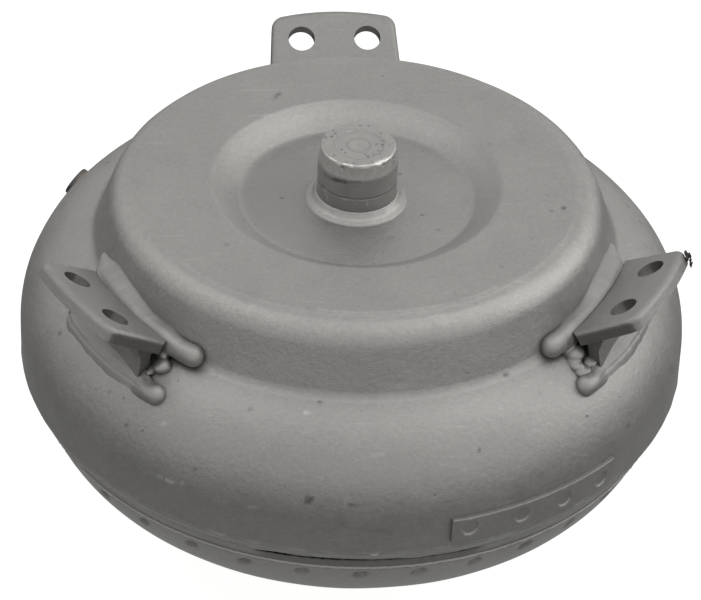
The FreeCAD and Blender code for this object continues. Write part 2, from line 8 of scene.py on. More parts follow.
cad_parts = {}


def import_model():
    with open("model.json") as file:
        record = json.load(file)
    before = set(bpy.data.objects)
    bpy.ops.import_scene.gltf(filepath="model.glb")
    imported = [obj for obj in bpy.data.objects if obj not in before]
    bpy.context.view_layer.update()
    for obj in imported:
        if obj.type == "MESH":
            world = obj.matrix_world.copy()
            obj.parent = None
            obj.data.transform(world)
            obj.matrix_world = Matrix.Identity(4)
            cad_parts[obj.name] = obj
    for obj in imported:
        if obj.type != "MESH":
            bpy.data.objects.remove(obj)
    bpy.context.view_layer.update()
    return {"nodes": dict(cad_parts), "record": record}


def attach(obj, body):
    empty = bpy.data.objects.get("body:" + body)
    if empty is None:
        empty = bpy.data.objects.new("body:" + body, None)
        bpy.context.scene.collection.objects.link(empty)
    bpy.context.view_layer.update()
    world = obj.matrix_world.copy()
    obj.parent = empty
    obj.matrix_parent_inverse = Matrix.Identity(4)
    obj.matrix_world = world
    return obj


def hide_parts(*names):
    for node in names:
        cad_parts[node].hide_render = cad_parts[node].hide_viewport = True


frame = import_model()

nodes = frame["nodes"]
scene = bpy.context.scene

MM = 0.001
SEAM = 84.0                       # height of the closure seam, mm
TAU = 2 * math.pi
BRACKETS = (90.0, 210.0, 330.0)
rng = np.random.default_rng(7)


# =============================================================== small helpers
def smooth(x):
    x = np.clip(x, 0.0, 1.0)
    return x * x * (3 - 2 * x)


def wrap(a):
    """Angle in degrees brought into -180..180."""
    return (np.asarray(a) + 180.0) % 360.0 - 180.0


def waves(seed, count, fmin, fmax):
    """A smooth periodic random function of azimuth (radians) and height (mm)."""
    g = np.random.default_rng(seed)
    f = g.integers(fmin, fmax + 1, count)
    k = g.uniform(-1, 1, count) * 0.09
    ph = g.uniform(0, TAU, count)
    amp = g.uniform(0.4, 1.0, count)
    amp /= np.sqrt((amp ** 2).sum() / 2)

    def fn(a, z=0.0):
        out = np.zeros(np.broadcast(a, z).shape)
        for i in range(count):
            out += amp[i] * np.sin(f[i] * a + k[i] * z + ph[i])
        return out
    return fn


def swell(seed, count, shortest, longest):
    """A smooth random function of place; wavelengths in mm, about 1 in size."""
    g = np.random.default_rng(seed)
    d = g.normal(size=(count, 3))
    d /= np.linalg.norm(d, axis=1)[:, None]
    k = d * (TAU / np.exp(g.uniform(math.log(shortest), math.log(longest), count)))[:, None]
    ph = g.uniform(0, TAU, count)
    amp = g.uniform(0.5, 1.0, count)
    amp /= np.sqrt((amp ** 2).sum() / 2)

    def fn(P, R, Z):
        X, Y = R * np.cos(P), R * np.sin(P)
        out = np.zeros(X.shape)
        for i in range(count):
            out += amp[i] * np.sin(k[i, 0] * X + k[i, 1] * Y + k[i, 2] * Z + ph[i])
        return out
    return fn


def chain(points, step=2.0, arc_step=3.0):
    """Polyline from vertices (r, z[, fillet radius]), arcs sampled finely, lines cut to step."""
    pts = [(p[0], p[1], p[2] if len(p) > 2 else 0.0) for p in points]
    out = [pts[0][:2]]

    def line_to(e):
        s = out[-1]
        n = max(1, int(math.ceil(math.hypot(e[0] - s[0], e[1] - s[1]) / step)))
        for k in range(1, n + 1):
            out.append((s[0] + (e[0] - s[0]) * k / n, s[1] + (e[1] - s[1]) * k / n))

    for i in range(1, len(pts) - 1):
        a, b, c = pts[i - 1], pts[i], pts[i + 1]
        rad = b[2]
        if rad <= 0:
            line_to(b[:2])
            continue
        d1 = np.array([b[0] - a[0], b[1] - a[1]])
        d1 /= np.hypot(*d1)
        d2 = np.array([c[0] - b[0], c[1] - b[1]])
        d2 /= np.hypot(*d2)
        turn = math.atan2(d1[0] * d2[1] - d1[1] * d2[0], float(d1 @ d2))
        t = rad * math.tan(abs(turn) / 2)
        s = (b[0] - d1[0] * t, b[1] - d1[1] * t)
        side = 1.0 if turn > 0 else -1.0
        cen = (s[0] - d1[1] * rad * side, s[1] + d1[0] * rad * side)
        if math.hypot(s[0] - out[-1][0], s[1] - out[-1][1]) > 1e-3:
            line_to(s)
        a0 = math.atan2(s[1] - cen[1], s[0] - cen[0])
        n = max(2, int(math.ceil(max(abs(math.degrees(turn)) / arc_step, rad * abs(turn) / step))))
        for k in range(1, n + 1):
            q = a0 + turn * k / n
            out.append((cen[0] + rad * math.cos(q), cen[1] + rad * math.sin(q)))
    if math.hypot(pts[-1][0] - out[-1][0], pts[-1][1] - out[-1][1]) > 1e-3:
        line_to(pts[-1][:2])
    return out


def offset(points, t):
    """Polyline moved t to the right of its direction of travel."""
    p = np.array(points)
    d = np.gradient(p, axis=0)
    d /= np.hypot(d[:, 0], d[:, 1])[:, None]
    return [tuple(v) for v in p + np.stack([d[:, 1], -d[:, 0]], 1) * t]


def arc(cen, rad, a0, a1, n):
    return [(cen[0] + rad * math.cos(math.radians(a0 + (a1 - a0) * k / n)),
             cen[1] + rad * math.sin(math.radians(a0 + (a1 - a0) * k / n))) for k in range(n + 1)]


def make(name, co, faces, sharp=32.0):
    """A mesh object from vertices in mm and faces, smooth with sharp creases."""
    me = bpy.data.meshes.new(name)
    me.from_pydata([], [], [])
    co = np.asarray(co, float) * MM
    quads = np.asarray([f for f in faces if len(f) == 4], np.int32) if not isinstance(faces, np.ndarray) else faces
    tris = [] if isinstance(faces, np.ndarray) else [f for f in faces if len(f) != 4]
    loops = list(quads.reshape(-1)) if len(quads) else []
    starts = list(range(0, 4 * len(quads), 4))
    for f in tris:
        starts.append(len(loops))
        loops.extend(f)
    me.vertices.add(len(co))
    me.vertices.foreach_set("co", co.astype(np.float32).reshape(-1))
    me.loops.add(len(loops))
    me.loops.foreach_set("vertex_index", np.asarray(loops, np.int32))
    me.polygons.add(len(starts))
    me.polygons.foreach_set("loop_start", np.asarray(starts, np.int32))
    me.update(calc_edges=True)
    me.validate()
    me.polygons.foreach_set("use_smooth", np.ones(len(me.polygons), bool))
    me.set_sharp_from_angle(angle=math.radians(sharp))
    ob = bpy.data.objects.new(name, me)
    scene.collection.objects.link(ob)
    return ob


def lathe(name, prof, seg, body=None, disp=None, azimuths=None, sharp=32.0, closed=True):
    """Turned solid from a closed outline of (r, z) in mm above the seam. disp(phi, r, z, nr, nz) moves
    points along the outline's outward normal. Points on the axis are merged."""
    p = np.array(prof, float)
    if closed and np.hypot(*(p[0] - p[-1])) < 1e-6:
        p = p[:-1]
    area = 0.5 * float(np.sum(p[:, 0] * np.roll(p[:, 1], -1) - np.roll(p[:, 0], -1) * p[:, 1]))
    if area < 0:                       # keep the outline counter-clockwise in (r, z)
        p = p[::-1]
    d = np.roll(p, -1, 0) - np.roll(p, 1, 0)
    d /= np.maximum(np.hypot(d[:, 0], d[:, 1]), 1e-9)[:, None]
    nr, nz = d[:, 1], -d[:, 0]
    phi = np.linspace(0, TAU, seg, endpoint=False) if azimuths is None else np.asarray(azimuths)
    seg = len(phi)
    P, R, Z = phi[None, :], p[:, 0][:, None] + 0 * phi[None, :], p[:, 1][:, None] + 0 * phi[None, :]
    if disp is not None:
        h = disp(P + 0 * R, R, Z, nr[:, None] + 0 * P, nz[:, None] + 0 * P)
        if isinstance(h, tuple):
            R, Z = R + h[0], Z + h[1]
        else:
            R, Z = R + h * nr[:, None], Z + h * nz[:, None]
    axis = p[:, 0] < 1e-6
    n = len(p)
    co = np.stack([R * np.cos(P), R * np.sin(P), Z + SEAM], -1).reshape(-1, 3)
    idx = np.arange(n * seg).reshape(n, seg)
    i0, i1 = np.arange(n), (np.arange(n) + 1) % n
    j1 = np.roll(np.arange(seg), -1)
    faces, caps = [], []
    for a, b in zip(i0, i1):
        if axis[a] and axis[b]:
            continue
        if axis[a] or axis[b]:
            for j in range(seg):
                k = j1[j]
                if axis[a]:
                    caps.append((int(idx[a, 0]), int(idx[b, k]), int(idx[b, j])))
                else:
                    caps.append((int(idx[a, j]), int(idx[a, k]), int(idx[b, 0])))
            continue
        faces.append(np.stack([idx[a], idx[a][j1], idx[b][j1], idx[b]], -1))
    quads = np.concatenate(faces).astype(np.int32)
    if axis.any():
        used = np.unique(np.concatenate([quads.reshape(-1), np.array(caps).reshape(-1)]))
        new = -np.ones(len(co), np.int64)
        new[used] = np.arange(len(used))
        co, quads = co[used], new[quads]
        caps = [tuple(int(new[v]) for v in f) for f in caps]
        allf = [tuple(int(v) for v in q) for q in quads] + caps
        ob = make(name, co, allf, sharp)
    else:
        ob = make(name, co, quads, sharp)
    return ob


def paint(ob, name, values):
    """A float attribute on the vertices, read by the material."""
    at = ob.data.attributes.new(name, "FLOAT", "POINT")
    at.data.foreach_set("value", np.asarray(values, np.float32))


def verts(ob):
    co = np.zeros(len(ob.data.vertices) * 3, np.float32)
    ob.data.vertices.foreach_get("co", co)
    return co.reshape(-1, 3) / MM


def show(ob, mat, slot, *replaced, body="housing"):
    ob.data.materials.clear()
    ob.data.materials.append(mat)
    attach(ob, body)
    if replaced:
        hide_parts(*replaced)
    return ob


# ================================================================== materials
class Nodes:
    def __init__(self, name):
        self.m = bpy.data.materials.new(name)
        self.m.use_nodes = True
        self.t = self.m.node_tree
        self.t.nodes.clear()
        self.out = self.add("ShaderNodeOutputMaterial")
        self.coord = self.add("ShaderNodeTexCoord").outputs["Object"]

    def add(self, kind, **kw):
        n = self.t.nodes.new(kind)
        for k, v in kw.items():
            if k.startswith("i_"):
                n.inputs[k[2:].replace("_", " ")].default_value = v
            else:
                setattr(n, k, v)
        return n

    def link(self, a, b):
        self.t.links.new(a, b)

    def math(self, op, a, b=None, c=None, clamp=False):
        n = self.add("ShaderNodeMath", operation=op, use_clamp=clamp)
        for i, v in enumerate((a, b, c)):
            if v is None:
                continue
            if isinstance(v, (int, float)):
                n.inputs[i].default_value = v
            else:
                self.link(v, n.inputs[i])
        return n.outputs[0]

    def noise(self, scale, detail=2.0, rough=0.5, distort=0.0, coord=None):
        n = self.add("ShaderNodeTexNoise")
        n.inputs["Scale"].default_value = scale
        n.inputs["Detail"].default_value = detail
        n.inputs["Roughness"].default_value = rough
        n.inputs["Distortion"].default_value = distort
        self.link(coord if coord is not None else self.coord, n.inputs["Vector"])
        return n.outputs["Fac"]

    def range(self, v, a, b, c=0.0, d=1.0, kind="LINEAR"):
        n = self.add("ShaderNodeMapRange", interpolation_type=kind)
        self.link(v, n.inputs[0])
        for i, q in enumerate((a, b, c, d)):
            n.inputs[i + 1].default_value = q
        return n.outputs[0]

    def scaled(self, sx, sy, sz, rot=(0, 0, 0)):
        n = self.add("ShaderNodeMapping")
        n.inputs["Scale"].default_value = (sx, sy, sz)
        n.inputs["Rotation"].default_value = rot
        self.link(self.coord, n.inputs["Vector"])
        return n.outputs[0]

    def attr(self, name):
        n = self.add("ShaderNodeAttribute", attribute_name=name)
        return n.outputs["Fac"]

    def sep(self):
        n = self.add("ShaderNodeSeparateXYZ")
        self.link(self.coord, n.inputs[0])
        return n.outputs

    def radius(self):
        x, y, _ = self.sep()
        return self.math("SQRT", self.math("ADD", self.math("MULTIPLY", x, x), self.math("MULTIPLY", y, y)))


def end_shade(n):
    """0..1 on the brackets' blanked edge faces, from the direction of the normal: painted shade on these faces below
    the rolled upper edge.
    """
    x, y, z = n.sep()
    geo = n.add("ShaderNodeNewGeometry")
    nsep = n.add("ShaderNodeSeparateXYZ")
    n.link(geo.outputs["Normal"], nsep.inputs[0])
    out = None
    for a in BRACKETS:
        c_, s_ = math.cos(math.radians(a)), math.sin(math.radians(a))
        # tangential part of the normal, and how far round this bracket we are
        tang = n.math("ABSOLUTE", n.math("ADD", n.math("MULTIPLY", nsep.outputs[0], -s_), n.math("MULTIPLY", nsep.outputs[1], c_)))
        near = n.range(n.math("ADD", n.math("MULTIPLY", x, c_), n.math("MULTIPLY", y, s_)), 0.085, 0.095)
        t_ = n.math("MULTIPLY", n.range(tang, 0.80, 0.93, 0.0, 1.0, "SMOOTHSTEP"), near)
        out = t_ if out is None else n.math("MAXIMUM", out, t_)
    return out


def steel(name, base, rough=0.5, metallic=1.0, grain=1.0, mottle=0.10, blotch=0.10, specks=0.5,
          scratch=0.25, crevice_shade=0.0, marks=False, tint=(1.0, 0.985, 0.955), grain_scale=1500.0,
          rings=None, wet=0.0, coat=0.0, end_face_shade=0.0):
    """Bare metal: colour broken by mottling, blotches, specks and scratches, with a grain relief, and optionally
    painted shade in crevices and on the brackets' end faces, and painted marks.
    """
    n = Nodes(name)
    fine = n.noise(grain_scale, 3.0, 0.65)
    mid = n.noise(grain_scale * 0.32, 3.0, 0.6)
    big = n.noise(70.0, 4.0, 0.6, 0.6)
    huge = n.noise(17.0, 3.0, 0.55, 0.8)
    f = n.math("MULTIPLY_ADD", n.math("SUBTRACT", fine, 0.5), 0.55 * mottle * 2, 1.0)
    f = n.math("ADD", f, n.math("MULTIPLY", n.math("SUBTRACT", mid, 0.5), mottle * 2.2))
    f = n.math("ADD", f, n.math("MULTIPLY", n.math("SUBTRACT", big, 0.5), blotch * 1.6))
    f = n.math("ADD", f, n.math("MULTIPLY", n.math("SUBTRACT", huge, 0.5), blotch * 1.4))
    rgh = n.math("MULTIPLY_ADD", n.math("SUBTRACT", big, 0.5), 0.16, rough)
    rgh = n.math("ADD", rgh, n.math("MULTIPLY", n.math("SUBTRACT", mid, 0.5), 0.12))
    if specks > 0:
        v = n.add("ShaderNodeTexVoronoi", feature="F1")
        v.inputs["Scale"].default_value = 210.0
        wob = n.add("ShaderNodeVectorMath", operation="MULTIPLY_ADD")
        wobn = n.add("ShaderNodeTexNoise")
        wobn.inputs["Scale"].default_value = 900.0
        n.link(n.coord, wobn.inputs["Vector"])
        n.link(wobn.outputs["Color"], wob.inputs[0])
        wob.inputs[1].default_value = (0.0022, 0.0022, 0.0022)
        n.link(n.coord, wob.inputs[2])
        n.link(wob.outputs[0], v.inputs["Vector"])
        csep = n.add("ShaderNodeSeparateColor")
        n.link(v.outputs["Color"], csep.inputs[0])
        keep = n.range(csep.outputs[0], 0.90, 0.93)
        spot = n.math("MULTIPLY", n.range(v.outputs["Distance"], 0.04, 0.13, 1.0, 0.0), keep)
        f = n.math("MULTIPLY", f, n.math("MULTIPLY_ADD", spot, -0.55 * specks, 1.0))
        keep2 = n.range(csep.outputs[1], 0.955, 0.975)
        spot2 = n.math("MULTIPLY", n.range(v.outputs["Distance"], 0.02, 0.08, 1.0, 0.0), keep2)
        f = n.math("MULTIPLY", f, n.math("MULTIPLY_ADD", spot2, 0.5 * specks, 1.0))
    if scratch > 0:
        for rot, sc, thr in (((0.3, 0.2, 0.5), (26.0, 620.0, 620.0), 0.725), ((0.7, -0.4, 1.9), (30.0, 700.0, 700.0), 0.735),
                             ((-0.2, 0.6, 2.7), (20.0, 560.0, 560.0), 0.73)):
            s = n.noise(1.0, 1.0, 0.5, 0.0, n.scaled(*sc, rot=rot))
            s = n.range(s, thr, thr + 0.04)
            f = n.math("MULTIPLY_ADD", n.math("MULTIPLY", s, f), 0.55 * scratch, f)
            rgh = n.math("MULTIPLY_ADD", s, -0.12 * scratch, rgh)
    if rings:
        r = n.radius()
        wav = n.math("SINE", n.math("MULTIPLY", r, TAU / (rings * MM)))
        mod = n.noise(1.0, 2.0, 0.5, 0.0, n.scaled(25.0, 25.0, 25.0))
        amt = n.math("MULTIPLY", wav, n.math("MULTIPLY", mod, 0.10))
        f = n.math("ADD", f, amt)
    # painted shade: the colour is darkened where ambient occlusion finds corners and creases within 6 mm
    if crevice_shade > 0:
        ao = n.add("ShaderNodeAmbientOcclusion", samples=6, only_local=False)
        ao.inputs["Distance"].default_value = 0.006
        dark = n.range(ao.outputs["AO"], 0.25, 0.85, 1.0 - crevice_shade, 1.0)
        f = n.math("MULTIPLY", f, dark)
    col = n.add("ShaderNodeVectorMath", operation="SCALE")
    col.inputs[0].default_value = tuple(base * t for t in tint)
    # painted marks: one attribute darkens the colour with dirt and painted shade, the bright one lightens it with wear
    # and painted highlights
    if marks:
        d = n.attr("grime_and_shade")
        b = n.attr("bright")
        # break the edges of the painted marks with the mid noise
        brk = n.math("MULTIPLY_ADD", n.math("SUBTRACT", mid, 0.5), 1.2, 1.0)
        f = n.math("MULTIPLY", f, n.math("SUBTRACT", 1.0, n.math("MULTIPLY", n.math("MULTIPLY", d, brk), 0.75), clamp=True))
        f = n.math("ADD", f, n.math("MULTIPLY", n.math("MULTIPLY", b, brk), 0.9))
        rgh = n.math("MULTIPLY_ADD", b, -0.12, rgh)
    # painted shade on the brackets' blanked end faces
    if end_face_shade:
        f = n.math("MULTIPLY", f, n.math("MULTIPLY_ADD", end_shade(n), -end_face_shade, 1.0))
    n.link(f, col.inputs["Scale"])
    bs = n.add("ShaderNodeBsdfPrincipled")
    n.link(col.outputs[0], bs.inputs["Base Color"])
    bs.inputs["Metallic"].default_value = metallic
    bs.inputs["Specular IOR Level"].default_value = 0.4
    n.link(n.math("MAXIMUM", rgh, 0.12), bs.inputs["Roughness"])
    if coat:
        bs.inputs["Coat Weight"].default_value = coat
        bs.inputs["Coat Roughness"].default_value = 0.25
    b1 = n.add("ShaderNodeBump", i_Strength=0.55 * grain)
    b1.inputs["Distance"].default_value = 0.00022
    h = n.math("ADD", fine, n.math("MULTIPLY", mid, 1.5))
    if rings:
        h = n.math("ADD", h, n.math("MULTIPLY", wav, 0.8))
    n.link(h, b1.inputs["Height"])
    b2 = n.add("ShaderNodeBump", i_Strength=0.25 * grain)
    b2.inputs["Distance"].default_value = 0.0009
    n.link(big, b2.inputs["Height"])
    n.link(b1.outputs[0], b2.inputs["Normal"])
    n.link(b2.outputs[0], bs.inputs["Normal"])
    n.link(bs.outputs[0], n.out.inputs["Surface"])
    return n.m


def fibrous(name, base, rough=0.85):
    """Friction paper or dark polymer: matte, with short fibres and pores."""
    n = Nodes(name)
    a = n.noise(900.0, 4.0, 0.7)
    b = n.noise(1.0, 2.0, 0.6, 0.0, n.scaled(300.0, 1400.0, 900.0))
    c = n.noise(40.0, 3.0, 0.5)
    f = n.math("MULTIPLY_ADD", n.math("SUBTRACT", a, 0.5), 0.7, 1.0)
    f = n.math("ADD", f, n.math("MULTIPLY", n.math("SUBTRACT", b, 0.5), 0.5))
    f = n.math("ADD", f, n.math("MULTIPLY", n.math("SUBTRACT", c, 0.5), 0.3))
    col = n.add("ShaderNodeVectorMath", operation="SCALE")
    col.inputs[0].default_value = base
    n.link(f, col.inputs["Scale"])
    bs = n.add("ShaderNodeBsdfPrincipled")
    n.link(col.outputs[0], bs.inputs["Base Color"])
    bs.inputs["Roughness"].default_value = rough
    bump = n.add("ShaderNodeBump", i_Strength=0.4)
    bump.inputs["Distance"].default_value = 0.0003
    n.link(n.math("ADD", a, b), bump.inputs["Height"])
    n.link(bump.outputs[0], bs.inputs["Normal"])
    n.link(bs.outputs[0], n.out.inputs["Surface"])
    return n.m


M_BODY = steel("blasted_steel", 0.345, 0.50, metallic=0.85, marks=True, crevice_shade=0.45, mottle=0.13, blotch=0.12, specks=0.8, scratch=0.22)
M_BRACKET = steel("bracket_steel", 0.30, 0.54, metallic=0.85, crevice_shade=0.40, end_face_shade=0.42, mottle=0.13, blotch=0.12, specks=0.7, scratch=0.2)
M_WELD = steel("weld_steel", 0.355, 0.54, metallic=0.85, marks=True, crevice_shade=0.45, mottle=0.08, blotch=0.10, specks=0.5, scratch=0.12, grain=0.6)
M_SEAMWELD = steel("seam_weld_steel", 0.33, 0.58, metallic=0.85, marks=True, crevice_shade=0.3, mottle=0.12, blotch=0.14, specks=0.8, scratch=0.1)
M_BURR = steel("burr_steel", 0.10, 0.6, mottle=0.2, blotch=0.2, specks=0.4, scratch=0.1)
M_STRIP = steel("strip_steel", 0.325, 0.54, metallic=0.85, crevice_shade=0.4, mottle=0.14, blotch=0.12, specks=0.8, scratch=0.2)
M_PILOT = steel("machined_steel", 0.38, 0.48, metallic=0.9, marks=True, crevice_shade=0.35, mottle=0.08, blotch=0.14, specks=0.9, scratch=0.3, grain=0.5)
M_HUB = steel("turned_steel", 0.52, 0.30, crevice_shade=0.3, mottle=0.05, blotch=0.06, specks=0.2, scratch=0.2, grain=0.25, rings=0.55)
M_PRESSED = steel("pressed_steel", 0.42, 0.36, mottle=0.06, blotch=0.10, specks=0.2, scratch=0.25, grain=0.4, wet=0.3, coat=0.25)
M_PLUG = steel("plug_steel", 0.13, 0.50, mottle=0.15, blotch=0.15, specks=0.3, scratch=0.3, tint=(1, 1, 1.03))
M_COPPER = steel("copper", 0.20, 0.50, mottle=0.12, blotch=0.25, specks=0.6, scratch=0.2, tint=(1.0, 0.80, 0.66))
M_RIVET = steel("rivet_steel", 0.46, 0.36, mottle=0.08, blotch=0.08, specks=0.2, scratch=0.1, grain=0.5)
M_SPRING = steel("spring_steel", 0.22, 0.32, mottle=0.08, blotch=0.10, specks=0.2, scratch=0.1, tint=(0.96, 0.98, 1.05), grain=0.4)
M_RACE = steel("race_steel", 0.60, 0.20, mottle=0.03, blotch=0.05, specks=0.1, scratch=0.15, grain=0.12, rings=0.4, tint=(0.99, 0.995, 1.0))
M_CAGE = steel("cage_steel", 0.50, 0.35, mottle=0.05, blotch=0.08, specks=0.1, scratch=0.15, grain=0.3, tint=(1.0, 0.97, 0.90))
M_CAST = steel("cast_aluminium", 0.62, 0.48, mottle=0.06, blotch=0.07, specks=0.3, scratch=0.1, grain=0.9, tint=(1.0, 1.0, 1.01))
M_WASHER = steel("washer_aluminium", 0.66, 0.33, mottle=0.04, blotch=0.05, specks=0.1, scratch=0.15, grain=0.3, rings=0.5, tint=(1.0, 1.0, 1.01))
M_PAPER = fibrous("friction_paper", (0.20, 0.14, 0.085))
M_SEAL = fibrous("seal_polymer", (0.055, 0.05, 0.045), 0.5)

BY_SLOT = {
    "blasted_steel": M_BODY, "machined_steel": M_HUB, "weld_steel": M_WELD, "bracket_steel": M_BRACKET,
    "strip_steel": M_STRIP, "pressed_steel": M_PRESSED, "plug_steel": M_PLUG, "copper": M_COPPER,
    "rivet_steel": M_RIVET, "spring_steel": M_SPRING, "seal_polymer": M_SEAL, "friction_paper": M_PAPER,
    "cast_aluminium": M_CAST, "washer_aluminium": M_WASHER, "race_steel": M_RACE, "cage_steel": M_CAGE,
}
slot_of = {s["node"]: s["material_slot"] for s in frame["record"]["subparts"]}
for name, ob in nodes.items():
    ob.data.materials.clear()
    ob.data.materials.append(BY_SLOT[slot_of[name]])

# ================================================================ front cover
COVER_OUT = [(15.0, 86.6), (50.0, 86.6, 4.0), (62.0, 95.0, 4.0), (101.78, 95.0, 14.4), (112.22, 66.31, 6.0),
             (144.0, 54.75, 43.2), (144.0, 11.0)]
outer = chain(COVER_OUT, 1.6, 2.5)
LIP = chain([(144.0, 11.0), (144.0, 9.4, 4.0), (141.9, 6.2, 0.6), (138.5, 6.2)], 0.25, 6.0)
inner = offset(outer, 5.5)[::-1]
inner = [(max(r, 15.0), z) for r, z in inner]
inner[0] = (138.5, 11.0)
inner[-1] = (15.0, 81.1)
profile = outer + LIP[1:] + [(138.5, 8.6)] + inner
w_cover = swell(11, 16, 35.0, 110.0)
w_cover2 = swell(12, 22, 9.0, 20.0)
w_lip = waves(13, 14, 9, 60)


def cover_disp(P, R, Z, nr, nz):
    outside = (nr * 0.6 + nz * 0.8 > -0.2) & (R > 17.5)
    h = 0.07 * w_cover(P, R, Z) + 0.012 * w_cover2(P, R, Z)
    # a shallow step left by the ground band at the outer edge of the flat ring
    h = h - 0.16 * smooth((R - 94.2) / 0.5) * smooth((97.6 - R) / 1.6) * (Z > 90) * (nz > 0.5)
    # a burr rolled out along the lower edge of the skirt, and the faint step above it
    h = h + 0.38 * np.exp(-((Z - 7.15) / 0.36) ** 2) * (R > 141.0) * (1.0 + 0.3 * w_lip(P, 0.0))
    h = h + 0.10 * np.exp(-((Z - 10.6) / 0.35) ** 2) * (R > 141.0) * (1.0 + 0.6 * w_lip(P + 1.0, 0.0))
    return np.where(outside, h, 0.0)


cover = lathe("front_cover_visual", profile, 1024, disp=cover_disp)

# ============================================================== impeller shell
IMP_C = (91.0, 8.5)
IMP_R = 47.5
bottom = [(78.27, -39.0), (58.42, -27.5), (40.0, -27.5)]
imp_outer = arc(IMP_C, IMP_R, 6.65, -20.0, 60) + arc(IMP_C, IMP_R, -20.0, -88.0, 46)[1:]
imp_outer += chain([imp_outer[-1], (78.27, -39.0, 46.0), (58.42, -27.5, 8.0), (40.0, -27.5)], 2.0, 3.0)[1:]
imp_inner = offset(imp_outer, 3.8)[::-1]
imp_inner[0] = (40.0, -23.7)
imp_inner[-1] = (IMP_C[0] + 43.7 * math.cos(math.radians(7.2)), 14.0)
prof = imp_outer + imp_inner
w_imp = swell(21, 16, 35.0, 110.0)
DENT_Z = -8.0


def imp_disp(P, R, Z, nr, nz):
    ax, az_ = R - IMP_C[0], Z - IMP_C[1]
    outside = (nr * ax + nz * az_ > 0) & (R > 60)
    h = 0.07 * w_imp(P, R, Z)
    pitch = 360.0 / 35
    a = np.degrees(P) - 236.8
    k = np.round(a / pitch)
    g = np.mod(k, 35)
    u = (a - k * pitch) * math.pi / 180 * 135.0                        # mm along the surface
    th = np.arctan2(az_, ax)
    v = (th - math.asin((DENT_Z - IMP_C[1]) / IMP_R)) * IMP_R + 0.35 * np.sin(g * 2.1)
    tilt = np.radians(20.0 + 9.0 * np.sin(g * 1.7))
    p = u * np.cos(tilt) + v * np.sin(tilt)
    q = -u * np.sin(tilt) + v * np.cos(tilt)
    half = 2.9 + 0.35 * np.sin(g * 3.3)
    d = np.exp(-(np.maximum(np.abs(p) - half * 0.4, 0) / (half * 0.55)) ** 2 - (q / 1.55) ** 2)
    h = h - (1.9 + 0.25 * np.sin(g * 5.1)) * d
    return np.where(outside, h, 0.0)


impeller = lathe("impeller_shell_visual", prof, 1400, disp=imp_disp)
wv = verts(impeller)

# =============================================================== closure weld
imp_r = lambda z: IMP_C[0] + math.sqrt(IMP_R ** 2 - (z - IMP_C[1]) ** 2)
CW = [(imp_r(z), z) for z in np.linspace(-3.3, 6.1, 12)]
CW += [(139.0, 6.15), (140.3, 6.15), (141.3, 6.15)]
cw_face = [(141.3, 6.15), (141.15, 5.6), (140.9, 5.0), (140.6, 4.4), (140.3, 3.8), (140.0, 3.2), (139.7, 2.6), (139.4, 2.0),
           (139.1, 1.4), (138.85, 0.8), (138.6, 0.2), (138.4, -0.4), (138.25, -0.9), (138.12, -1.3), (138.2, -1.55),
           (138.34, -1.8), (138.4, -2.0), (138.3, -2.25), (138.1, -2.6), (137.95, -2.9), (137.75, -3.3)]
CW += cw_face[1:]
w_cw = waves(31, 26, 40, 260)
w_cw2 = waves(32, 10, 4, 14)


def weld_disp(P, R, Z, nr, nz):
    a = wrap(np.degrees(P) + 91.0)
    front = smooth((20.5 - np.abs(a)) / 3.0)
    out = (R > imp_r(0.0) - 3.0) & (nr > 0.1)
    ripple = 0.05 * w_cw(P, Z) * out * (Z > -3.2)
    ridge = np.exp(-((Z + 1.95) / 0.4) ** 2) * out * (0.12 + 0.05 * w_cw(P, 0.0))
    sink = -0.25 * w_cw2(P, 0.0) * np.exp(-((Z - 3.0) / 2.0) ** 2) * out
    # at the front the gap is left open down to the shell
    back = -np.maximum(R - (np.interp(Z, [-3.3, -1.4, 0.0, 6.2], [137.7, 138.1, 138.42, 138.6])), 0.0) * front * smooth((Z + 1.5) / 0.4)
    back = np.where(R > 138.3, back, 0.0)
    return (ripple + ridge + sink) * nr + back, (ripple + ridge + sink) * nz


cweld = lathe("closure_weld_visual", CW, 1400, disp=weld_disp)

# ====================================================================== pilot
PIL = [(0.0, 81.1), (15.0, 81.1), (15.0, 86.6), (17.0, 86.6)]
PIL += [(17.0, z) for z in np.arange(87.4, 96.4, 0.7)]
PIL += [(17.0, 96.72), (16.93, 96.82), (16.90, 96.92), (16.90, 97.06), (16.93, 97.16), (17.0, 97.26)]
PIL += [(17.0, z) for z in np.arange(98.1, 106.3, 0.7)]
PIL += [(17.0, 106.5), (16.93, 107.0)]
PIL += [(17.0 - 1.2 * (z - 106.5) / 6.5, z) for z in np.arange(107.5, 112.7, 0.4)]
PIL += [(15.95, 112.75), (15.8, 113.1), (15.55, 113.34), (15.2, 113.46), (14.7, 113.5)]
PIL += [(r, 113.5) for r in np.arange(14.3, 11.2, -0.4)]
PIL += [(11.0, 113.5), (10.75, 113.42), (10.4, 113.2), (10.0, 113.1)]
PIL += [(r, 113.1) for r in np.arange(9.6, 5.6, -0.4)]
PIL += [(5.4, 113.1), (5.1, 113.0), (4.8, 113.02), (4.5, 113.15), (4.1, 113.2), (3.4, 113.2), (2.6, 113.15),
        (2.2, 113.02), (1.6, 112.86), (0.8, 112.78), (0.0, 112.76)]
w_pil = swell(41, 20, 3.0, 12.0)
pits = []
g = np.random.default_rng(5)
for _ in range(46):
    pits.append((g.uniform(0, TAU), math.sqrt(g.uniform(9, 230)), None, g.uniform(0.25, 0.75), g.uniform(0.10, 0.35)))


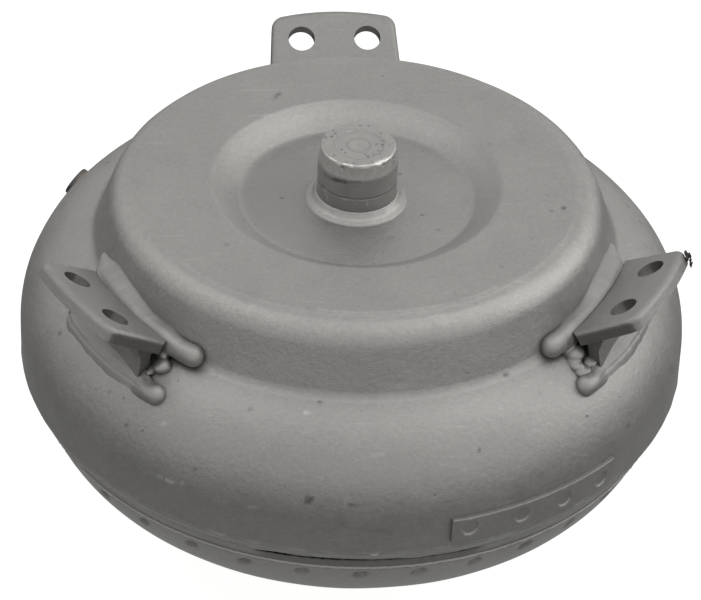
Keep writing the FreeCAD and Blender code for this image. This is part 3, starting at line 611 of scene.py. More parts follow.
def pilot_disp(P, R, Z, nr, nz):
    X, Y = R * np.cos(P), R * np.sin(P)
    h = 0.03 * w_pil(P, R, Z)
    top = nz > 0.6
    for a, r, _, s, dep in pits:
        d2 = (X - r * math.cos(a)) ** 2 + (Y - r * math.sin(a)) ** 2
        h = h - np.where(top, dep * np.exp(-d2 / s ** 2), 0.0)
    # turning marks on the end face
    h = h + np.where(top & (R > 3), 0.018 * np.sin(R * TAU / 1.1), 0.0)
    # punch marks just under the rim: azimuth, height, size, depth
    for a, z, s, dep in ((-118.9, 111.2, 0.75, 0.6), (-53.4, 111.5, 0.65, 0.5), (-28.1, 110.9, 0.7, 0.55)):
        d2 = (wrap(np.degrees(P) - a) * math.pi / 180 * 16.3) ** 2 + (Z - z) ** 2
        h = h - np.where(nr > 0.5, dep * np.exp(-d2 / s ** 2), 0.0)
    # bruises on the rim
    for a, s, dep in ((-125.0, 1.6, 0.35), (-104.0, 1.2, 0.25), (-84.0, 1.8, 0.3), (-58.0, 1.3, 0.4), (-20.0, 1.5, 0.3),
                      (35.0, 1.4, 0.3), (120.0, 1.7, 0.35), (170.0, 1.2, 0.3)):
        d2 = (wrap(np.degrees(P) - a) * math.pi / 180 * 15.6) ** 2 + ((R - 15.5) * 1.4) ** 2
        h = h - np.where(Z > 112.6, dep * np.exp(-d2 / s ** 2), 0.0)
    return np.where((Z > 87.0), h, 0.0)


pilot = lathe("pilot_boss_visual", PIL, 320, disp=pilot_disp, sharp=40)

PW = chain([(16.6, 86.2), (16.6, 90.4), (17.2, 90.5), (17.8, 90.0, 0.4), (19.2, 88.0, 3.0), (21.3, 87.2, 0.6),
            (22.0, 86.55), (22.0, 86.2), (16.6, 86.2)], 0.4, 12.0)
w_pw = waves(51, 12, 3, 16)
pweld = lathe("pilot_weld_visual", PW, 360,
              disp=lambda P, R, Z, nr, nz: np.where(R > 17.05, 0.05 * w_pw(P, 0.0), 0.0))


# =============================================================== bead welds
def polar_shape(c, pts, n):
    """Radii about c, at n even angles, of a closed outline given as (r, z) points."""
    q = np.array([math.atan2(z - c[1], r - c[0]) for r, z in pts])
    d = np.array([math.hypot(z - c[1], r - c[0]) for r, z in pts])
    o = np.argsort(q)
    q, d = q[o], d[o]
    q = np.concatenate([q - TAU, q, q + TAU])
    d = np.tile(d, 3)
    t = np.linspace(0, TAU, 4 * n, endpoint=False)
    v = np.interp(np.where(t > math.pi, t - TAU, t), q, d)
    for _ in range(5):                                  # round the corners a little
        v = 0.5 * v + 0.25 * (np.roll(v, 1) + np.roll(v, -1))
    return v[::4]


def sweep_bead(name, mid_c, mid, low, blob_c, rad, halves, cut, span, bracket, seed, ends_, tail):
    """Weld metal along an arc about the axis: a fillet section in the middle, and at an end marked 1 a
    swollen round end, at an end marked 0 a tail that thins away. mid is the section where it stands
    highest and low the section nearer the round end. It starts to swell at cut degrees and is round
    after span more."""
    g = np.random.default_rng(seed)
    rc, zc = blob_c
    cap = math.degrees(rad / rc)
    n, m = 80, 300
    reach = [halves[i] + cap if e else tail for i, e in enumerate(ends_)]
    s_ = np.linspace(-1, 1, m)
    s_ = np.sin(s_ * math.pi / 2 * 0.985) / math.sin(math.pi / 2 * 0.985)
    ang = np.where(s_ < 0, s_ * reach[0], s_ * reach[1])
    q = np.linspace(0, TAU, n, endpoint=False)
    mid_r, low_r = polar_shape(mid_c, mid, n), polar_shape(mid_c, low, n)
    ph = g.uniform(0, TAU, 14)
    rows = []
    for a in ang:
        e = 1 if a > 0 else 0
        L = math.radians(a) * rc
        toward = a if (ends_[1] and (a > 0 or not ends_[0])) else -a
        u = float(smooth((toward + (6.0 if sum(ends_) < 2 else 0.0)) / (18.0 if sum(ends_) < 2 else 12.0)))
        here = mid_r * (1 - u) + low_r * u
        if ends_[e]:
            t = float(smooth((abs(a) - cut) / span))
            over = max(abs(a) - halves[e], 0.0) / cap
            k = math.sqrt(max(1 - min(over, 1.0) ** 2, 0.0))
            c = np.array(mid_c) * (1 - t) + np.array([rc, zc]) * t
            sec = (here * (1 - t) + rad * t) * k
        else:
            t = float(smooth((abs(a) - tail * 0.52) / (tail * 0.48)))
            here = here * (1 - 0.5 * t) + low_r * 0.5 * t
            c = np.array(mid_c) + np.array([-1.9, 1.2]) * t
            sec = here * (1 - 0.62 * t) * math.sqrt(max(1 - (abs(a) / tail) ** 14, 0.0))
        size = sec / rad
        bump = (0.16 * np.sin(L / 6.1 + ph[0] + 0.5 * np.sin(q + ph[1])) + 0.08 * np.sin(L / 2.9 + ph[2] + q)
                + 0.05 * np.sin(L / 1.3 + ph[3] + 0.8 * np.cos(q)) + 0.03 * np.sin(L / 0.7 + ph[4] + 1.3 * np.cos(q + 0.4)))
        sec = sec + bump * smooth(size * 1.2)
        ar = math.radians(a + bracket)
        r, z = c[0] + sec * np.cos(q), c[1] + sec * np.sin(q)
        rows.append(np.stack([r * math.cos(ar), r * math.sin(ar), z + SEAM], -1))
    co = np.array(rows)
    body = co[1:-1].reshape(-1, 3)
    tips = [co[0].mean(0)[None], co[-1].mean(0)[None]]
    allco = np.concatenate([body] + tips)
    mm = m - 2
    idx = np.arange(mm * n).reshape(mm, n)
    nx = np.roll(np.arange(n), -1)
    quads = np.concatenate([np.stack([idx[i], idx[i][nx], idx[i + 1][nx], idx[i + 1]], -1) for i in range(mm - 1)])
    faces = [tuple(int(v) for v in f) for f in quads]
    t0, t1 = mm * n, mm * n + 1
    for j in range(n):
        faces.append((t0, int(idx[0, nx[j]]), int(idx[0, j])))
        faces.append((t1, int(idx[-1, j]), int(idx[-1, nx[j]])))
    return make(name, allco, faces, 60)


# the fillet between the plate's inner edge and the crown wall: where it stands highest, and near its round end
UP_MID_C = (111.6, 72.6)
UP_MID = [(118.4, 70.6), (117.4, 73.7), (115.8, 75.1), (113.6, 76.8), (111.6, 77.7), (109.6, 78.4), (107.4, 79.0), (105.4, 77.6),
          (105.2, 73.0), (107.5, 69.0), (111.0, 67.0), (115.5, 67.5), (118.4, 69.0)]
UP_LOW = [(118.2, 69.8), (117.2, 72.1), (115.6, 73.6), (113.6, 74.7), (111.6, 74.9), (110.2, 74.8), (108.4, 74.6), (106.6, 73.6),
          (106.2, 71.0), (107.5, 69.0), (111.0, 67.0), (115.5, 67.5), (118.2, 68.6)]
# the fillet between the web's foot and the torus
LO_MID_C = (127.6, 55.4)
LO_MID = [(124.0, 62.4), (125.6, 61.6), (127.2, 60.4), (128.8, 58.9), (130.3, 57.1), (131.6, 55.2), (132.3, 53.2), (131.4, 51.0),
          (128.0, 49.6), (124.0, 51.0), (121.8, 56.0), (122.2, 60.8)]


def lump(name, r, azim, z, size, squash_=(1, 1, 1), seed=0, rough=0.22):
    """A drop of weld metal: an uneven ball sunk in the surface."""
    import bmesh
    g = np.random.default_rng(seed)
    bm = bmesh.new()
    bmesh.ops.create_icosphere(bm, subdivisions=3, radius=1.0)
    me = bpy.data.meshes.new(name)
    bm.to_mesh(me)
    bm.free()
    co = np.zeros(len(me.vertices) * 3, np.float32)
    me.vertices.foreach_get("co", co)
    co = co.reshape(-1, 3)
    f = np.ones(len(co))
    for _ in range(5):
        d = g.normal(size=3)
        d /= np.linalg.norm(d)
        f += rough * g.uniform(0.3, 1.0) * np.sin(g.uniform(1.5, 4.5) * (co @ d) + g.uniform(0, TAU))
    co = co * f[:, None] * size * np.array(squash_)
    a = math.radians(azim)
    rot = np.array([[math.cos(a), -math.sin(a), 0], [math.sin(a), math.cos(a), 0], [0, 0, 1]])
    co = co @ rot.T + np.array([r * math.cos(a), r * math.sin(a), z + SEAM])
    me.vertices.foreach_set("co", (co * MM).astype(np.float32).reshape(-1))
    me.polygons.foreach_set("use_smooth", np.ones(len(me.polygons), bool))
    me.update()
    ob = bpy.data.objects.new(name, me)
    scene.collection.objects.link(ob)
    return ob


def join(obs, name):
    """One mesh object from several."""
    cos, faces, base = [], [], 0
    for o in obs:
        v = verts(o)
        cos.append(v)
        for p in o.data.polygons:
            faces.append(tuple(base + i for i in p.vertices))
        base += len(v)
        bpy.data.objects.remove(o)
    return make(name, np.concatenate(cos), faces, 60)


def melt(ob, voxel, passes):
    """One skin over overlapping lumps, its creases softened."""
    m = ob.modifiers.new("skin", "REMESH")
    m.mode = "VOXEL"
    m.voxel_size = voxel * MM
    k = ob.modifiers.new("soft", "SMOOTH")
    k.factor = 0.5
    k.iterations = passes
    dg = bpy.context.evaluated_depsgraph_get()
    me = bpy.data.meshes.new_from_object(ob.evaluated_get(dg))
    ob.modifiers.clear()
    old = ob.data
    ob.data = me
    bpy.data.meshes.remove(old)
    me.polygons.foreach_set("use_smooth", np.ones(len(me.polygons), bool))
    me.update()
    return ob


uppers, lowers = [], []
for i, a in enumerate(BRACKETS):
    ends_ = ((1, 1), (0, 1), (1, 0))[i]
    h_ = ((19.2, 19.2), (19.0, 20.0), (18.9, 19.0))[i]
    uppers.append(sweep_bead("u%d" % i, UP_MID_C, UP_MID, UP_LOW, (113.3, 70.0), 4.7, h_, 12.0, 5.5, a, 100 + i, ends_, 19.6))
    lowers.append(sweep_bead("l%d" % i, LO_MID_C, LO_MID, LO_MID, (129.6, 56.7), 4.5, (17.1, 17.1), 11.0, 5.0, a, 200 + i, ends_, 17.0))
# lumps and spatter between the two beads, where each bracket's seam was started
drops = []
LUMPS = (((119.6, 14.8, 63.4, 4.2, (1.0, 0.9, 0.75)), (116.4, 15.6, 65.3, 3.2, (1.0, 1.1, 0.7)),
          (123.6, 14.2, 61.3, 3.0, (1.3, 0.8, 0.6))),
         ((119.6, 14.9, 63.4, 4.1, (1.1, 0.9, 0.75)), (116.4, 13.4, 66.0, 3.2, (0.9, 1.1, 0.9)),
          (123.4, 13.6, 61.6, 2.6, (1.3, 0.8, 0.6))),
         ((117.6, 14.6, 64.6, 5.2, (1.15, 0.95, 0.75)), (121.0, 16.2, 62.4, 3.6, (1.2, 1.0, 0.6)),
          (125.2, 15.8, 60.0, 3.6, (1.3, 1.0, 0.6)), (123.6, 13.0, 61.0, 3.4, (1.0, 0.9, 0.7))))
for i, (a, sgn) in enumerate(((90.0, 1), (210.0, 1), (330.0, -1))):
    g = np.random.default_rng(300 + i)
    for dr, da, z, size, sq in LUMPS[i]:
        drops.append(lump("d%d_%d" % (i, len(drops)), dr, a + sgn * da, z, size, sq, seed=400 + len(drops), rough=0.10))
    for k in range(5):
        aa = a + sgn * g.uniform(-16, 20)
        rr = g.uniform(136.5, 139.5) if k % 2 else g.uniform(118.0, 124.0)
        zz = 24.5 + math.sqrt(43.2 ** 2 - (rr - 100.8) ** 2)
        drops.append(lump("s%d_%d" % (i, k), rr, aa, zz, g.uniform(0.35, 0.7), (1, 1, 0.8), seed=500 + i * 10 + k))
upper = melt(join(uppers + drops, "bracket_upper_welds_visual"), 0.42, 7)
lower = join(lowers, "bracket_lower_welds_visual")
# a ragged burr left on one bracket's far outer corner
tb = math.radians(32.0)
burrs = []
for u, v, w, size, sq, sd in ((13.0, 25.0, -3.4, 1.2, (0.8, 0.8, 1.5), 1), (13.3, 24.2, -5.0, 1.1, (0.8, 0.8, 1.5), 2),
                              (12.3, 25.8, -2.2, 1.0, (0.9, 0.8, 1.2), 3), (13.3, 24.0, -6.6, 0.8, (0.7, 0.7, 1.3), 4)):
    x = 129.0 + math.cos(tb) * u - math.sin(tb) * w
    z = 83.7 + math.sin(tb) * u + math.cos(tb) * w
    rr, da = math.hypot(x, v), math.degrees(math.atan2(v, x))
    burrs.append(lump("b%d" % sd, rr, 330.0 + da, z, size, sq, seed=600 + sd, rough=0.45))
burr = join(burrs, "bracket_burr")

# ============================================================= balance weight
WA0, WA1, WZ0, WZ1, WR = 282.0, 314.0, 14.3, 26.1, 145.9
na, nz_ = 300, 50
A = np.radians(np.linspace(WA0, WA1, na))
Zs = np.linspace(WZ0, WZ1, nz_)
AA, ZZ = np.meshgrid(A, Zs, indexing="ij")
dep = np.zeros_like(AA)
for k, da in enumerate((3.0, 12.3, 20.6, 28.8)):
    d = np.hypot((AA - math.radians(WA0 + da)) * WR, ZZ - 20.0 - (0.9, 0.4, -0.1, -0.4)[k])
    dep += -0.55 * smooth((3.9 - d) / 1.0) + 0.12 * np.exp(-((d - 4.2) / 0.6) ** 2)
edge = np.minimum(np.minimum(ZZ - WZ0, WZ1 - ZZ), np.minimum(AA - A[0], A[-1] - AA) * WR)
dep -= 0.30 * (1 - smooth(edge / 0.45))
w_w = waves(61, 14, 30, 120)
RR = WR + dep + 0.03 * w_w(AA, ZZ)
outg = np.stack([RR * np.cos(AA), RR * np.sin(AA), ZZ + SEAM], -1).reshape(-1, 3)
ing = np.stack([143.2 * np.cos(AA), 143.2 * np.sin(AA), ZZ + SEAM], -1).reshape(-1, 3)
idx = np.arange(na * nz_).reshape(na, nz_)
off = na * nz_
faces = []
q = np.stack([idx[:-1, :-1], idx[1:, :-1], idx[1:, 1:], idx[:-1, 1:]], -1).reshape(-1, 4)
faces += [tuple(int(v) for v in f) for f in q]
faces += [tuple(int(v) + off for v in f[::-1]) for f in q]
for j in range(na - 1):
    a, b = int(idx[j, 0]), int(idx[j + 1, 0])
    faces.append((a, a + off, b + off, b))
    a, b = int(idx[j, -1]), int(idx[j + 1, -1])
    faces.append((b, b + off, a + off, a))
for j in range(nz_ - 1):
    a, b = int(idx[0, j]), int(idx[0, j + 1])
    faces.append((b, b + off, a + off, a))
    a, b = int(idx[-1, j]), int(idx[-1, j + 1])
    faces.append((a, a + off, b + off, b))
weight = make("balance_weight_visual", np.concatenate([outg, ing]), faces, 40)


# ================================================== marks, painted shade and painted highlights on the metal
def capsules(co, items):
    """Strength 0..1 near segments given as ((azimuth, height), (azimuth, height), radius of the surface, width)."""
    az_ = np.degrees(np.arctan2(co[:, 1], co[:, 0]))
    r = np.hypot(co[:, 0], co[:, 1])
    z = co[:, 2] - SEAM
    out = np.zeros(len(co))
    for p0, p1, wid, amt in items:
        a = np.array([math.cos(math.radians(p0[0])) * p0[1], math.sin(math.radians(p0[0])) * p0[1], p0[2]])
        b = np.array([math.cos(math.radians(p1[0])) * p1[1], math.sin(math.radians(p1[0])) * p1[1], p1[2]])
        c = np.stack([co[:, 0], co[:, 1], z], -1)
        ab = b - a
        t = np.clip(((c - a) @ ab) / max(float(ab @ ab), 1e-9), 0, 1)
        d = np.linalg.norm(c - (a + t[:, None] * ab), axis=1)
        out = np.maximum(out, amt * np.exp(-(d / wid) ** 2))
    return out


def finish_marks(ob, dark=(), bright=(), extra=None):
    co = verts(ob)
    paint(ob, "grime_and_shade", capsules(co, dark) if len(dark) else np.zeros(len(co)))
    paint(ob, "bright", capsules(co, bright) if len(bright) else np.zeros(len(co)))


# azimuth, radius, height above the seam
G = np.random.default_rng(77)
dark_cover = [
    ((115.8, 71.6, 95.0), (113.0, 73.5, 95.0), 0.8, 0.7), ((117.5, 70.0, 95.0), (115.2, 70.6, 95.0), 0.5, 0.5),
    ((-15.4, 88.3, 95.0), (-14.4, 88.9, 95.0), 0.7, 0.8), ((-17.6, 84.2, 95.0), (-17.0, 84.0, 95.0), 0.5, 0.6),
    ((-101.9, 142.0, 37.8), (-101.0, 142.0, 37.3), 0.8, 0.9), ((-101.9, 142.3, 36.0), (-101.2, 142.3, 35.8), 0.7, 0.9),
    ((-95.0, 142.6, 35.3), (-93.4, 142.6, 35.0), 0.5, 0.8), ((-99.5, 143.0, 33.6), (-98.9, 143.0, 33.3), 0.5, 0.5),
    ((-114.6, 123.1, 61.5), (-114.0, 123.3, 61.4), 0.5, 0.8), ((-101.6, 114.9, 65.3), (-101.2, 115.0, 65.2), 0.6, 0.8),
    ((-61.6, 112.9, 66.5), (-61.0, 113.1, 66.4), 0.8, 0.8), ((-60.4, 116.0, 65.0), (-59.8, 116.6, 64.8), 0.5, 0.6),
    ((-96.0, 143.4, 26.0), (-88.0, 143.6, 22.0), 0.8, 0.35), ((-112.0, 139.0, 43.5), (-86.0, 142.4, 35.2), 0.9, 0.22),
    ((-135.5, 114.9, 65.3), (-135.2, 115.2, 65.2), 1.2, 1.0), ((-136.3, 124.5, 60.6), (-136.3, 125.2, 60.3), 1.3, 1.0),
    ((-44.7, 122.1, 62.1), (-44.7, 122.6, 61.9), 1.3, 1.0), ((-43.8, 117.6, 64.4), (-43.8, 118.2, 64.2), 1.0, 0.8),
    ((-136.0, 139.5, 43.0), (-135.3, 139.8, 42.0), 0.6, 0.7),
]
bright_cover = [
    ((-129.4, 143.7, 29.6), (-128.6, 143.7, 29.5), 0.28, 0.45), ((-127.9, 143.7, 29.4), (-126.9, 143.7, 29.3), 0.25, 0.6),
    ((-126.2, 143.7, 29.2), (-124.6, 143.7, 29.4), 0.3, 1.0), ((-123.2, 143.5, 30.7), (-122.9, 143.5, 30.6), 0.35, 0.8),
    ((-115.6, 143.9, 27.3), (-115.0, 143.9, 27.2), 0.35, 0.8), ((-118.6, 143.9, 28.3), (-117.0, 143.9, 27.9), 0.25, 0.3),
    ((-113.6, 144.0, 8.8), (-112.0, 144.0, 8.7), 0.32, 0.7), ((-111.4, 144.0, 8.6), (-109.0, 144.0, 8.5), 0.3, 0.8), ((-90.9, 144.0, 10.3), (-90.5, 144.0, 10.6), 0.45, 1.3), ((-90.4, 144.0, 10.2), (-89.9, 144.0, 10.7), 0.4, 1.3),
    ((-83.4, 144.0, 11.6), (-82.8, 144.0, 11.5), 0.35, 1.1), ((-101.3, 142.4, 39.0), (-100.9, 142.4, 39.0), 0.5, 1.0),
    ((-95.2, 142.8, 41.0), (-95.4, 142.9, 35.0), 1.1, 0.18), ((-71.2, 144.0, 10.6), (-67.1, 144.0, 10.2), 1.1, 0.22),
    ((-104.0, 120.0, 63.4), (-101.8, 121.0, 62.9), 0.35, 0.6), ((-80.0, 131.0, 55.4), (-79.3, 131.2, 55.2), 0.4, 0.6),
]
# a faint ground line along the outer edge of the flat ring
for k in range(11):
    a0 = -104.0 + 4.3 * k
    bright_cover.append(((a0, 92.7, 95.0), (a0 + 4.4, 92.7, 95.0), 0.7, 0.16 + 0.10 * float(G.uniform())))
for _ in range(34):                                   # small dark nicks all over
    a0, t0 = G.uniform(0, 360), G.uniform(0, 1)
    if t0 < 0.35:
        r0, z0 = G.uniform(62, 92), 95.0
    elif t0 < 0.5:
        r0, z0 = G.uniform(24, 48), 86.6
    else:
        q0 = G.uniform(5, 70)
        r0, z0 = 100.8 + 43.2 * math.cos(math.radians(q0)), 24.5 + 43.2 * math.sin(math.radians(q0))
    l0 = G.uniform(0.2, 1.6)
    dark_cover.append(((a0, r0, z0), (a0 + l0 * 57.3 / r0, r0 + G.uniform(-0.5, 0.5), z0), G.uniform(0.3, 0.6), G.uniform(0.4, 0.9)))
for _ in range(26):                                   # fine bright scratches
    a0, q0 = G.uniform(0, 360), G.uniform(-10, 60)
    r0 = 100.8 + 43.2 * math.cos(math.radians(q0))
    z0 = 24.5 + 43.2 * math.sin(math.radians(q0))
    l0 = G.uniform(1, 7)
    bright_cover.append(((a0, r0, z0), (a0 + l0 * 57.3 / r0, r0, z0 + G.uniform(-0.6, 0.6)), G.uniform(0.25, 0.4), G.uniform(0.2, 0.5)))

for bead_, lim in ((upper, 13.5), (lower, 12.5)):
    co = verts(bead_)
    ab = np.degrees(np.arctan2(co[:, 1], co[:, 0]))
    off_ = np.min(np.abs(np.stack([wrap(ab - b) for b in BRACKETS])), axis=0)
    g_ = 0.17 * smooth((lim - off_) / 3.0)
    holes_ = capsules(co, [((-136.6, 117.2, 66.2), (-136.8, 118.4, 65.4), 1.3, 0.9), ((-136.0, 123.8, 62.5), (-136.4, 125.2, 61.4), 1.2, 1.0),
                           ((-43.3, 121.6, 63.6), (-43.8, 122.4, 62.8), 1.2, 1.0), ((-43.0, 118.4, 66.2), (-43.4, 119.0, 65.6), 1.0, 0.8),
                           ((105.5, 122.0, 63.2), (105.0, 123.0, 62.6), 1.2, 0.8)])
    paint(bead_, "grime_and_shade", np.maximum(g_, holes_))
    paint(bead_, "bright", np.zeros(len(co)))
co = verts(pweld)
paint(pweld, "grime_and_shade", np.zeros(len(co)))
# painted highlight: a band on the weld's fillet, strongest on the front
paint(pweld, "bright", 0.20 * smooth((co[:, 2] - SEAM - 86.7) / 0.8) * smooth((90.2 - co[:, 2] + SEAM) / 0.8)
      * smooth(0.1 - co[:, 1] / 17.0))
finish_marks(cover, dark_cover, bright_cover)
co = verts(cover)
rr_ = np.hypot(co[:, 0], co[:, 1])
side_ = -co[:, 0] / np.maximum(rr_, 1.0)                  # 1 to the left of the pilot
zz_ = co[:, 2] - SEAM
shade_ = (0.085 + 0.075 * side_ + 0.03 * co[:, 1] / np.maximum(rr_, 1.0)) * smooth((50.0 - rr_) / 4.0) * (zz_ > 84)
shade_ = shade_ + 0.10 * smooth((1.0 + side_ * -1.0 - 1.2) / 0.5) * smooth((rr_ - 49.0) / 2.0) * smooth((63.0 - rr_) / 3.0) * (zz_ > 84)
at = cover.data.attributes["grime_and_shade"]
old = np.zeros(len(co), np.float32)
at.data.foreach_get("value", old)
at.data.foreach_set("value", np.maximum(old, shade_).astype(np.float32))
at = cover.data.attributes["bright"]
at.data.foreach_get("value", old)
# painted highlights: a band round the shoulder of the flat ring, and one on the inner slope, stronger towards the back
shoulder_and_slope_highlight = 0.15 * np.exp(-((rr_ - 101.2) / 3.2) ** 2) * (zz_ > 84) + 0.10 * np.exp(-((rr_ - 56.5) / 4.0) ** 2) * (zz_ > 84) * smooth(co[:, 1] / 60.0 + 0.3)
at.data.foreach_set("value", np.maximum(old, shoulder_and_slope_highlight).astype(np.float32))
co = verts(cover)
zq, rq = co[:, 2] - SEAM, np.hypot(co[:, 0], co[:, 1])
aq = np.degrees(np.arctan2(co[:, 1], co[:, 0]))
# painted highlight: a glint along the lip's lower edge, varying round the rim, and a faint bright line along the step
# above it
rim_ = np.exp(-((zq - 7.1) / 0.40) ** 2) * (rq > 141.5)
at = cover.data.attributes["bright"]
old = np.zeros(len(co), np.float32)
at.data.foreach_get("value", old)
lip_glint = 0.16 + 0.10 * w_lip(np.radians(aq), 0.0) + 0.06 * np.sin(np.radians(aq) * 9.0)
line_ = np.exp(-((zq - 11.2) / 0.30) ** 2) * (rq > 143.0) * np.clip(0.10 + 0.12 * w_lip(np.radians(aq) + 2.0, 0.0), 0, 0.4)
at.data.foreach_set("value", np.maximum(old, np.maximum(rim_ * np.clip(lip_glint, 0, 0.5), line_)).astype(np.float32))
dents = [((236.8 + k * 360 / 35 - 0.7, 135.3, -8.6), (236.8 + k * 360 / 35 + 0.7, 135.6, -7.6), 1.5, 0.62 + 0.2 * math.sin(k * 2.3)) for k in range(35)]
finish_marks(impeller, dents)
co = verts(cweld)
zc_ = co[:, 2] - SEAM
af = np.abs(wrap(np.degrees(np.arctan2(co[:, 1], co[:, 0])) + 91.0))
frontness = smooth((20.5 - af) / 3.0)
# painted shade: dark in the open gap under the lip at the front, thin dark lines where the gap is closed elsewhere, and
# a dark line at the foot of the weld
open_ = 0.34 * smooth((zc_ + 1.5) / 0.4) + 0.9 * smooth((zc_ - 1.9) / 0.7)
shut = 0.45 * np.exp(-((zc_ + 0.9) / 0.45) ** 2) + 0.35 * np.exp(-((zc_ - 5.4) / 0.5) ** 2)
paint(cweld, "grime_and_shade", np.clip(frontness * open_ + (1 - frontness) * shut + 0.25 * np.exp(-((zc_ + 2.9) / 0.4) ** 2), 0, 1.3))
# painted highlight along the ridge below the gap
paint(cweld, "bright", 0.32 * np.exp(-((zc_ + 1.95) / 0.42) ** 2))
co = verts(pilot)
zp = co[:, 2] - SEAM
rp = np.hypot(co[:, 0], co[:, 1])
ap = np.degrees(np.arctan2(co[:, 1], co[:, 0]))
smear = capsules(co, [((-150.0, 17.0, 104.3), (-132.0, 17.0, 104.6), 1.2, 0.55), ((-132.0, 17.0, 104.7), (-112.0, 17.0, 105.3), 1.1, 0.9),
                      ((-112.0, 17.0, 105.4), (-92.0, 17.0, 105.9), 0.7, 0.6), ((-118.9, 16.3, 111.2), (-118.0, 16.3, 111.0), 0.9, 1.0),
                      ((-53.4, 16.3, 111.5), (-53.0, 16.3, 111.0), 0.8, 0.8), ((-28.1, 16.3, 110.9), (-28.0, 16.4, 110.0), 0.8, 0.9),
                      ((-152.0, 17.0, 98.5), (-138.0, 17.0, 94.0), 0.6, 0.6), ((-160.0, 17.0, 96.0), (-148.0, 17.0, 92.5), 0.5, 0.5),
                      ((-40.0, 17.0, 100.0), (-20.0, 17.0, 99.0), 1.6, 0.2)])
# painted shade in the groove round the side
groove = 0.62 * np.exp(-((zp - 97.0) / 0.45) ** 2) * (rp > 16.5)
# painted shade: the side darker, most on the front
facing = np.clip(-np.sin(np.radians(ap)), 0, 1)
cyl_dark = (0.08 + 0.16 * facing ** 2) * smooth((106.4 - zp) / 0.8) * smooth((zp - 87.0) / 1.0) * (rp > 16.4)
pit_dark = np.zeros(len(co))
for a, r, _, sz, dep in pits:
    d2 = (co[:, 0] - r * math.cos(a)) ** 2 + (co[:, 1] - r * math.sin(a)) ** 2
    pit_dark = np.maximum(pit_dark, (zp > 112) * min(1.0, dep * 3.0) * np.exp(-d2 / (sz * 0.9) ** 2))
# painted shade: dark rings at the steps of the end face
ringd = (zp > 112) * (0.25 * np.exp(-((rp - 10.5) / 0.5) ** 2) + 0.3 * np.exp(-((rp - 4.9) / 0.4) ** 2) - 0.0 * rp)
paint(pilot, "grime_and_shade", np.clip(np.maximum.reduce([smear, groove, cyl_dark, pit_dark, ringd]), 0, 1))
# painted highlights along the front of the top rim, and a few bright spots on the side
rimb = capsules(co, [((-118.0, 15.6, 113.2), (-104.0, 15.6, 113.2), 0.45, 0.9), ((-96.0, 15.6, 113.2), (-70.0, 15.6, 113.2), 0.4, 0.5),
                     ((-66.0, 15.4, 113.4), (-46.0, 15.3, 113.4), 0.9, 0.9), ((-40.0, 15.6, 113.2), (-24.0, 15.6, 113.2), 0.4, 0.4),
                     ((-145.0, 15.6, 113.2), (-132.0, 15.6, 113.2), 0.4, 0.5), ((-146.0, 17.0, 96.5), (-140.0, 17.0, 93.5), 0.9, 0.35),
                     ((-80.0, 17.0, 94.8), (-79.6, 17.0, 94.2), 0.35, 0.9)])
band = 0.20 * smooth((zp - 106.6) / 0.8) * (rp < 17.2) * (rp > 15.4)
paint(pilot, "bright", np.clip(rimb + band, 0, 1))

# ========================================================== assemble the pieces
show(cover, M_BODY, "blasted_steel", "front_cover")
show(impeller, M_BODY, "blasted_steel", "impeller_shell")
show(cweld, M_SEAMWELD, "weld_steel", "closure_weld")
show(pilot, M_PILOT, "machined_steel", "pilot_boss")
show(pweld, M_WELD, "weld_steel", "pilot_weld")
show(upper, M_WELD, "weld_steel", "bracket_upper_welds")
show(lower, M_WELD, "weld_steel", "bracket_lower_welds")
show(weight, M_STRIP, "strip_steel", "balance_weight")
show(burr, M_BURR, "bracket_steel")


# ============================================================ floor and light
def floor():
    bpy.ops.mesh.primitive_grid_add(x_subdivisions=8, y_subdivisions=8, size=14.0, location=(0, 0, -0.0002))
    ob = bpy.context.object
    ob.name = "floor"
    n = Nodes("floor_paper")
    grain = n.noise(300.0, 2.0, 0.5)
    seen = n.add("ShaderNodeBsdfDiffuse")
    c1 = n.add("ShaderNodeCombineColor")
    v1 = n.range(grain, 0.3, 0.7, 0.23, 0.25)
    for k in range(3):
        n.link(v1, c1.inputs[k])
    n.link(c1.outputs[0], seen.inputs["Color"])
    glow = n.add("ShaderNodeEmission")
    glow.inputs["Color"].default_value = (1.0, 1.0, 0.995, 1)
    glow.inputs["Strength"].default_value = FLOOR_GLOW
    both = n.add("ShaderNodeAddShader")
    n.link(seen.outputs[0], both.inputs[0])
    n.link(glow.outputs[0], both.inputs[1])
    dim_d = n.add("ShaderNodeBsdfDiffuse")
    dim_d.inputs["Color"].default_value = (FLOOR_DIM, FLOOR_DIM, FLOOR_DIM * 0.985, 1)
    dim_e = n.add("ShaderNodeEmission")
    n.link(n.range(n.radius(), 0.13, 0.30, FLOOR_NEAR, 0.0, "SMOOTHSTEP"), dim_e.inputs["Strength"])
    dim = n.add("ShaderNodeAddShader")
    n.link(dim_d.outputs[0], dim.inputs[0])
    n.link(dim_e.outputs[0], dim.inputs[1])
    lp = n.add("ShaderNodeLightPath")
    mix = n.add("ShaderNodeMixShader")
    n.link(lp.outputs["Is Camera Ray"], mix.inputs[0])
    n.link(dim.outputs[0], mix.inputs[1])
    n.link(both.outputs[0], mix.inputs[2])
    under = n.add("ShaderNodeNewGeometry")
    clear = n.add("ShaderNodeBsdfTransparent")
    top = n.add("ShaderNodeMixShader")
    n.link(under.outputs["Backfacing"], top.inputs[0])
    n.link(mix.outputs[0], top.inputs[1])
    n.link(clear.outputs[0], top.inputs[2])
    n.link(top.outputs[0], n.out.inputs["Surface"])
    ob.data.materials.append(n.m)
    return ob


FLOOR_GLOW = 0.92
FLOOR_DIM = 0.16
FLOOR_NEAR = 0.36
CAM_TURN = -5.727          # the camera stands this far round from -Y, in degrees


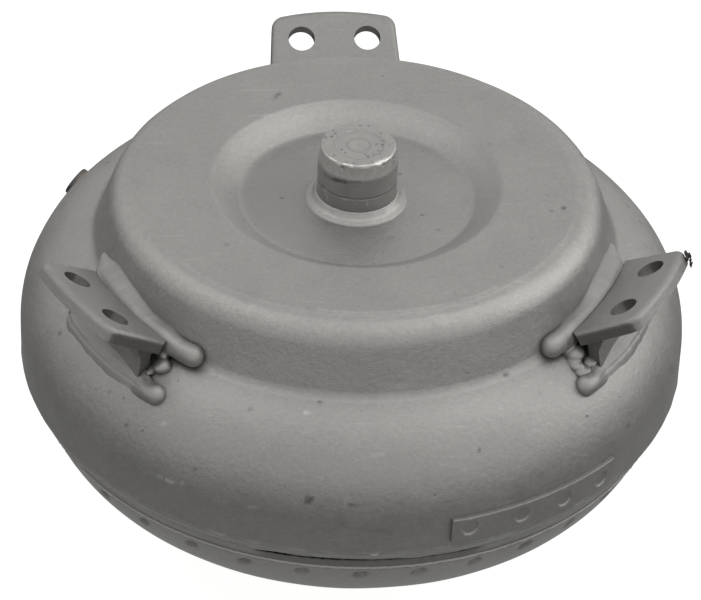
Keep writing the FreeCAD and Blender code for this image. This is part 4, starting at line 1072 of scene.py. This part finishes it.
def area(name, size, power, loc, target=(0, 0, 0.1), size_y=None):
    d = bpy.data.lights.new(name, "AREA")
    d.shape = "RECTANGLE" if size_y else "SQUARE"
    d.size = size
    if size_y:
        d.size_y = size_y
    d.energy = power
    ob = bpy.data.objects.new(name, d)
    v = Vector(loc)
    v.rotate(Quaternion((0, 0, 1), math.radians(CAM_TURN)))
    ob.location = v
    ob.rotation_mode = "QUATERNION"
    ob.rotation_quaternion = (Vector(target) - v).to_track_quat("-Z", "Y")
    scene.collection.objects.link(ob)
    return ob


def world():
    w = bpy.data.worlds.new("studio")
    w.use_nodes = True
    t = w.node_tree
    t.nodes.clear()
    out = t.nodes.new("ShaderNodeOutputWorld")
    bg = t.nodes.new("ShaderNodeBackground")
    co = t.nodes.new("ShaderNodeTexCoord")
    sep = t.nodes.new("ShaderNodeSeparateXYZ")
    t.links.new(co.outputs["Generated"], sep.inputs[0])
    ramp = t.nodes.new("ShaderNodeMapRange")
    ramp.interpolation_type = "SMOOTHSTEP"
    t.links.new(sep.outputs[2], ramp.inputs[0])
    ramp.inputs[1].default_value = -0.05
    ramp.inputs[2].default_value = 0.95
    ramp.inputs[3].default_value = WORLD_LOW
    ramp.inputs[4].default_value = WORLD_TOP
    gx = t.nodes.new("ShaderNodeMath")
    gx.operation = "MULTIPLY_ADD"
    t.links.new(sep.outputs[0], gx.inputs[0])
    gx.inputs[1].default_value = 0.12
    gx.inputs[2].default_value = 1.0
    gy = t.nodes.new("ShaderNodeMath")
    gy.operation = "MULTIPLY_ADD"
    t.links.new(sep.outputs[1], gy.inputs[0])
    gy.inputs[1].default_value = 0.02
    t.links.new(gx.outputs[0], gy.inputs[2])
    both = t.nodes.new("ShaderNodeMath")
    both.operation = "MULTIPLY"
    t.links.new(ramp.outputs[0], both.inputs[0])
    t.links.new(gy.outputs[0], both.inputs[1])
    t.links.new(both.outputs[0], bg.inputs["Strength"])
    bg.inputs["Color"].default_value = (1.0, 0.995, 0.985, 1)
    t.links.new(bg.outputs[0], out.inputs[0])
    scene.world = w


WORLD_LOW, WORLD_TOP = 0.96, 0.68
floor()
world()
area("top_soft", 1.4, 2.5, (0.1, -0.45, 1.8))
area("soft_left", 0.75, 2.6, (-0.84, 0.07, 1.50))
area("soft_right", 0.75, 2.7, (0.73, 0.14, 1.54))
area("key_right", 0.9, 4.2, (1.55, 0.25, 0.85))
scene.view_settings.view_transform = "Standard"
scene.view_settings.look = "None"
scene.view_settings.exposure = 0.0
scene.view_settings.gamma = 1.0

# ===================================================================== camera
EL = math.radians(36.929)
DIST = 1.5234
target = Vector((-0.73 * MM, 0.0, (31.4 + SEAM) * MM))
back = Vector((0.0, -math.cos(EL), math.sin(EL)))
loc = target + back * DIST
quat = (-back).to_track_quat("-Z", "Y")
turn = Quaternion((0, 0, 1), math.radians(CAM_TURN))
cam_data = bpy.data.cameras.new("camera")
cam_data.lens = 179.74
cam_data.sensor_width = 36.0
cam_data.sensor_fit = "HORIZONTAL"
cam_data.clip_start = 0.05
cam_data.clip_end = 50.0
cam = bpy.data.objects.new("camera", cam_data)
loc.rotate(turn)
cam.location = loc
cam.rotation_mode = "QUATERNION"
cam.rotation_quaternion = turn @ quat @ Quaternion((0, 0, 1), 0.04098)
scene.collection.objects.link(cam)
scene.camera = cam
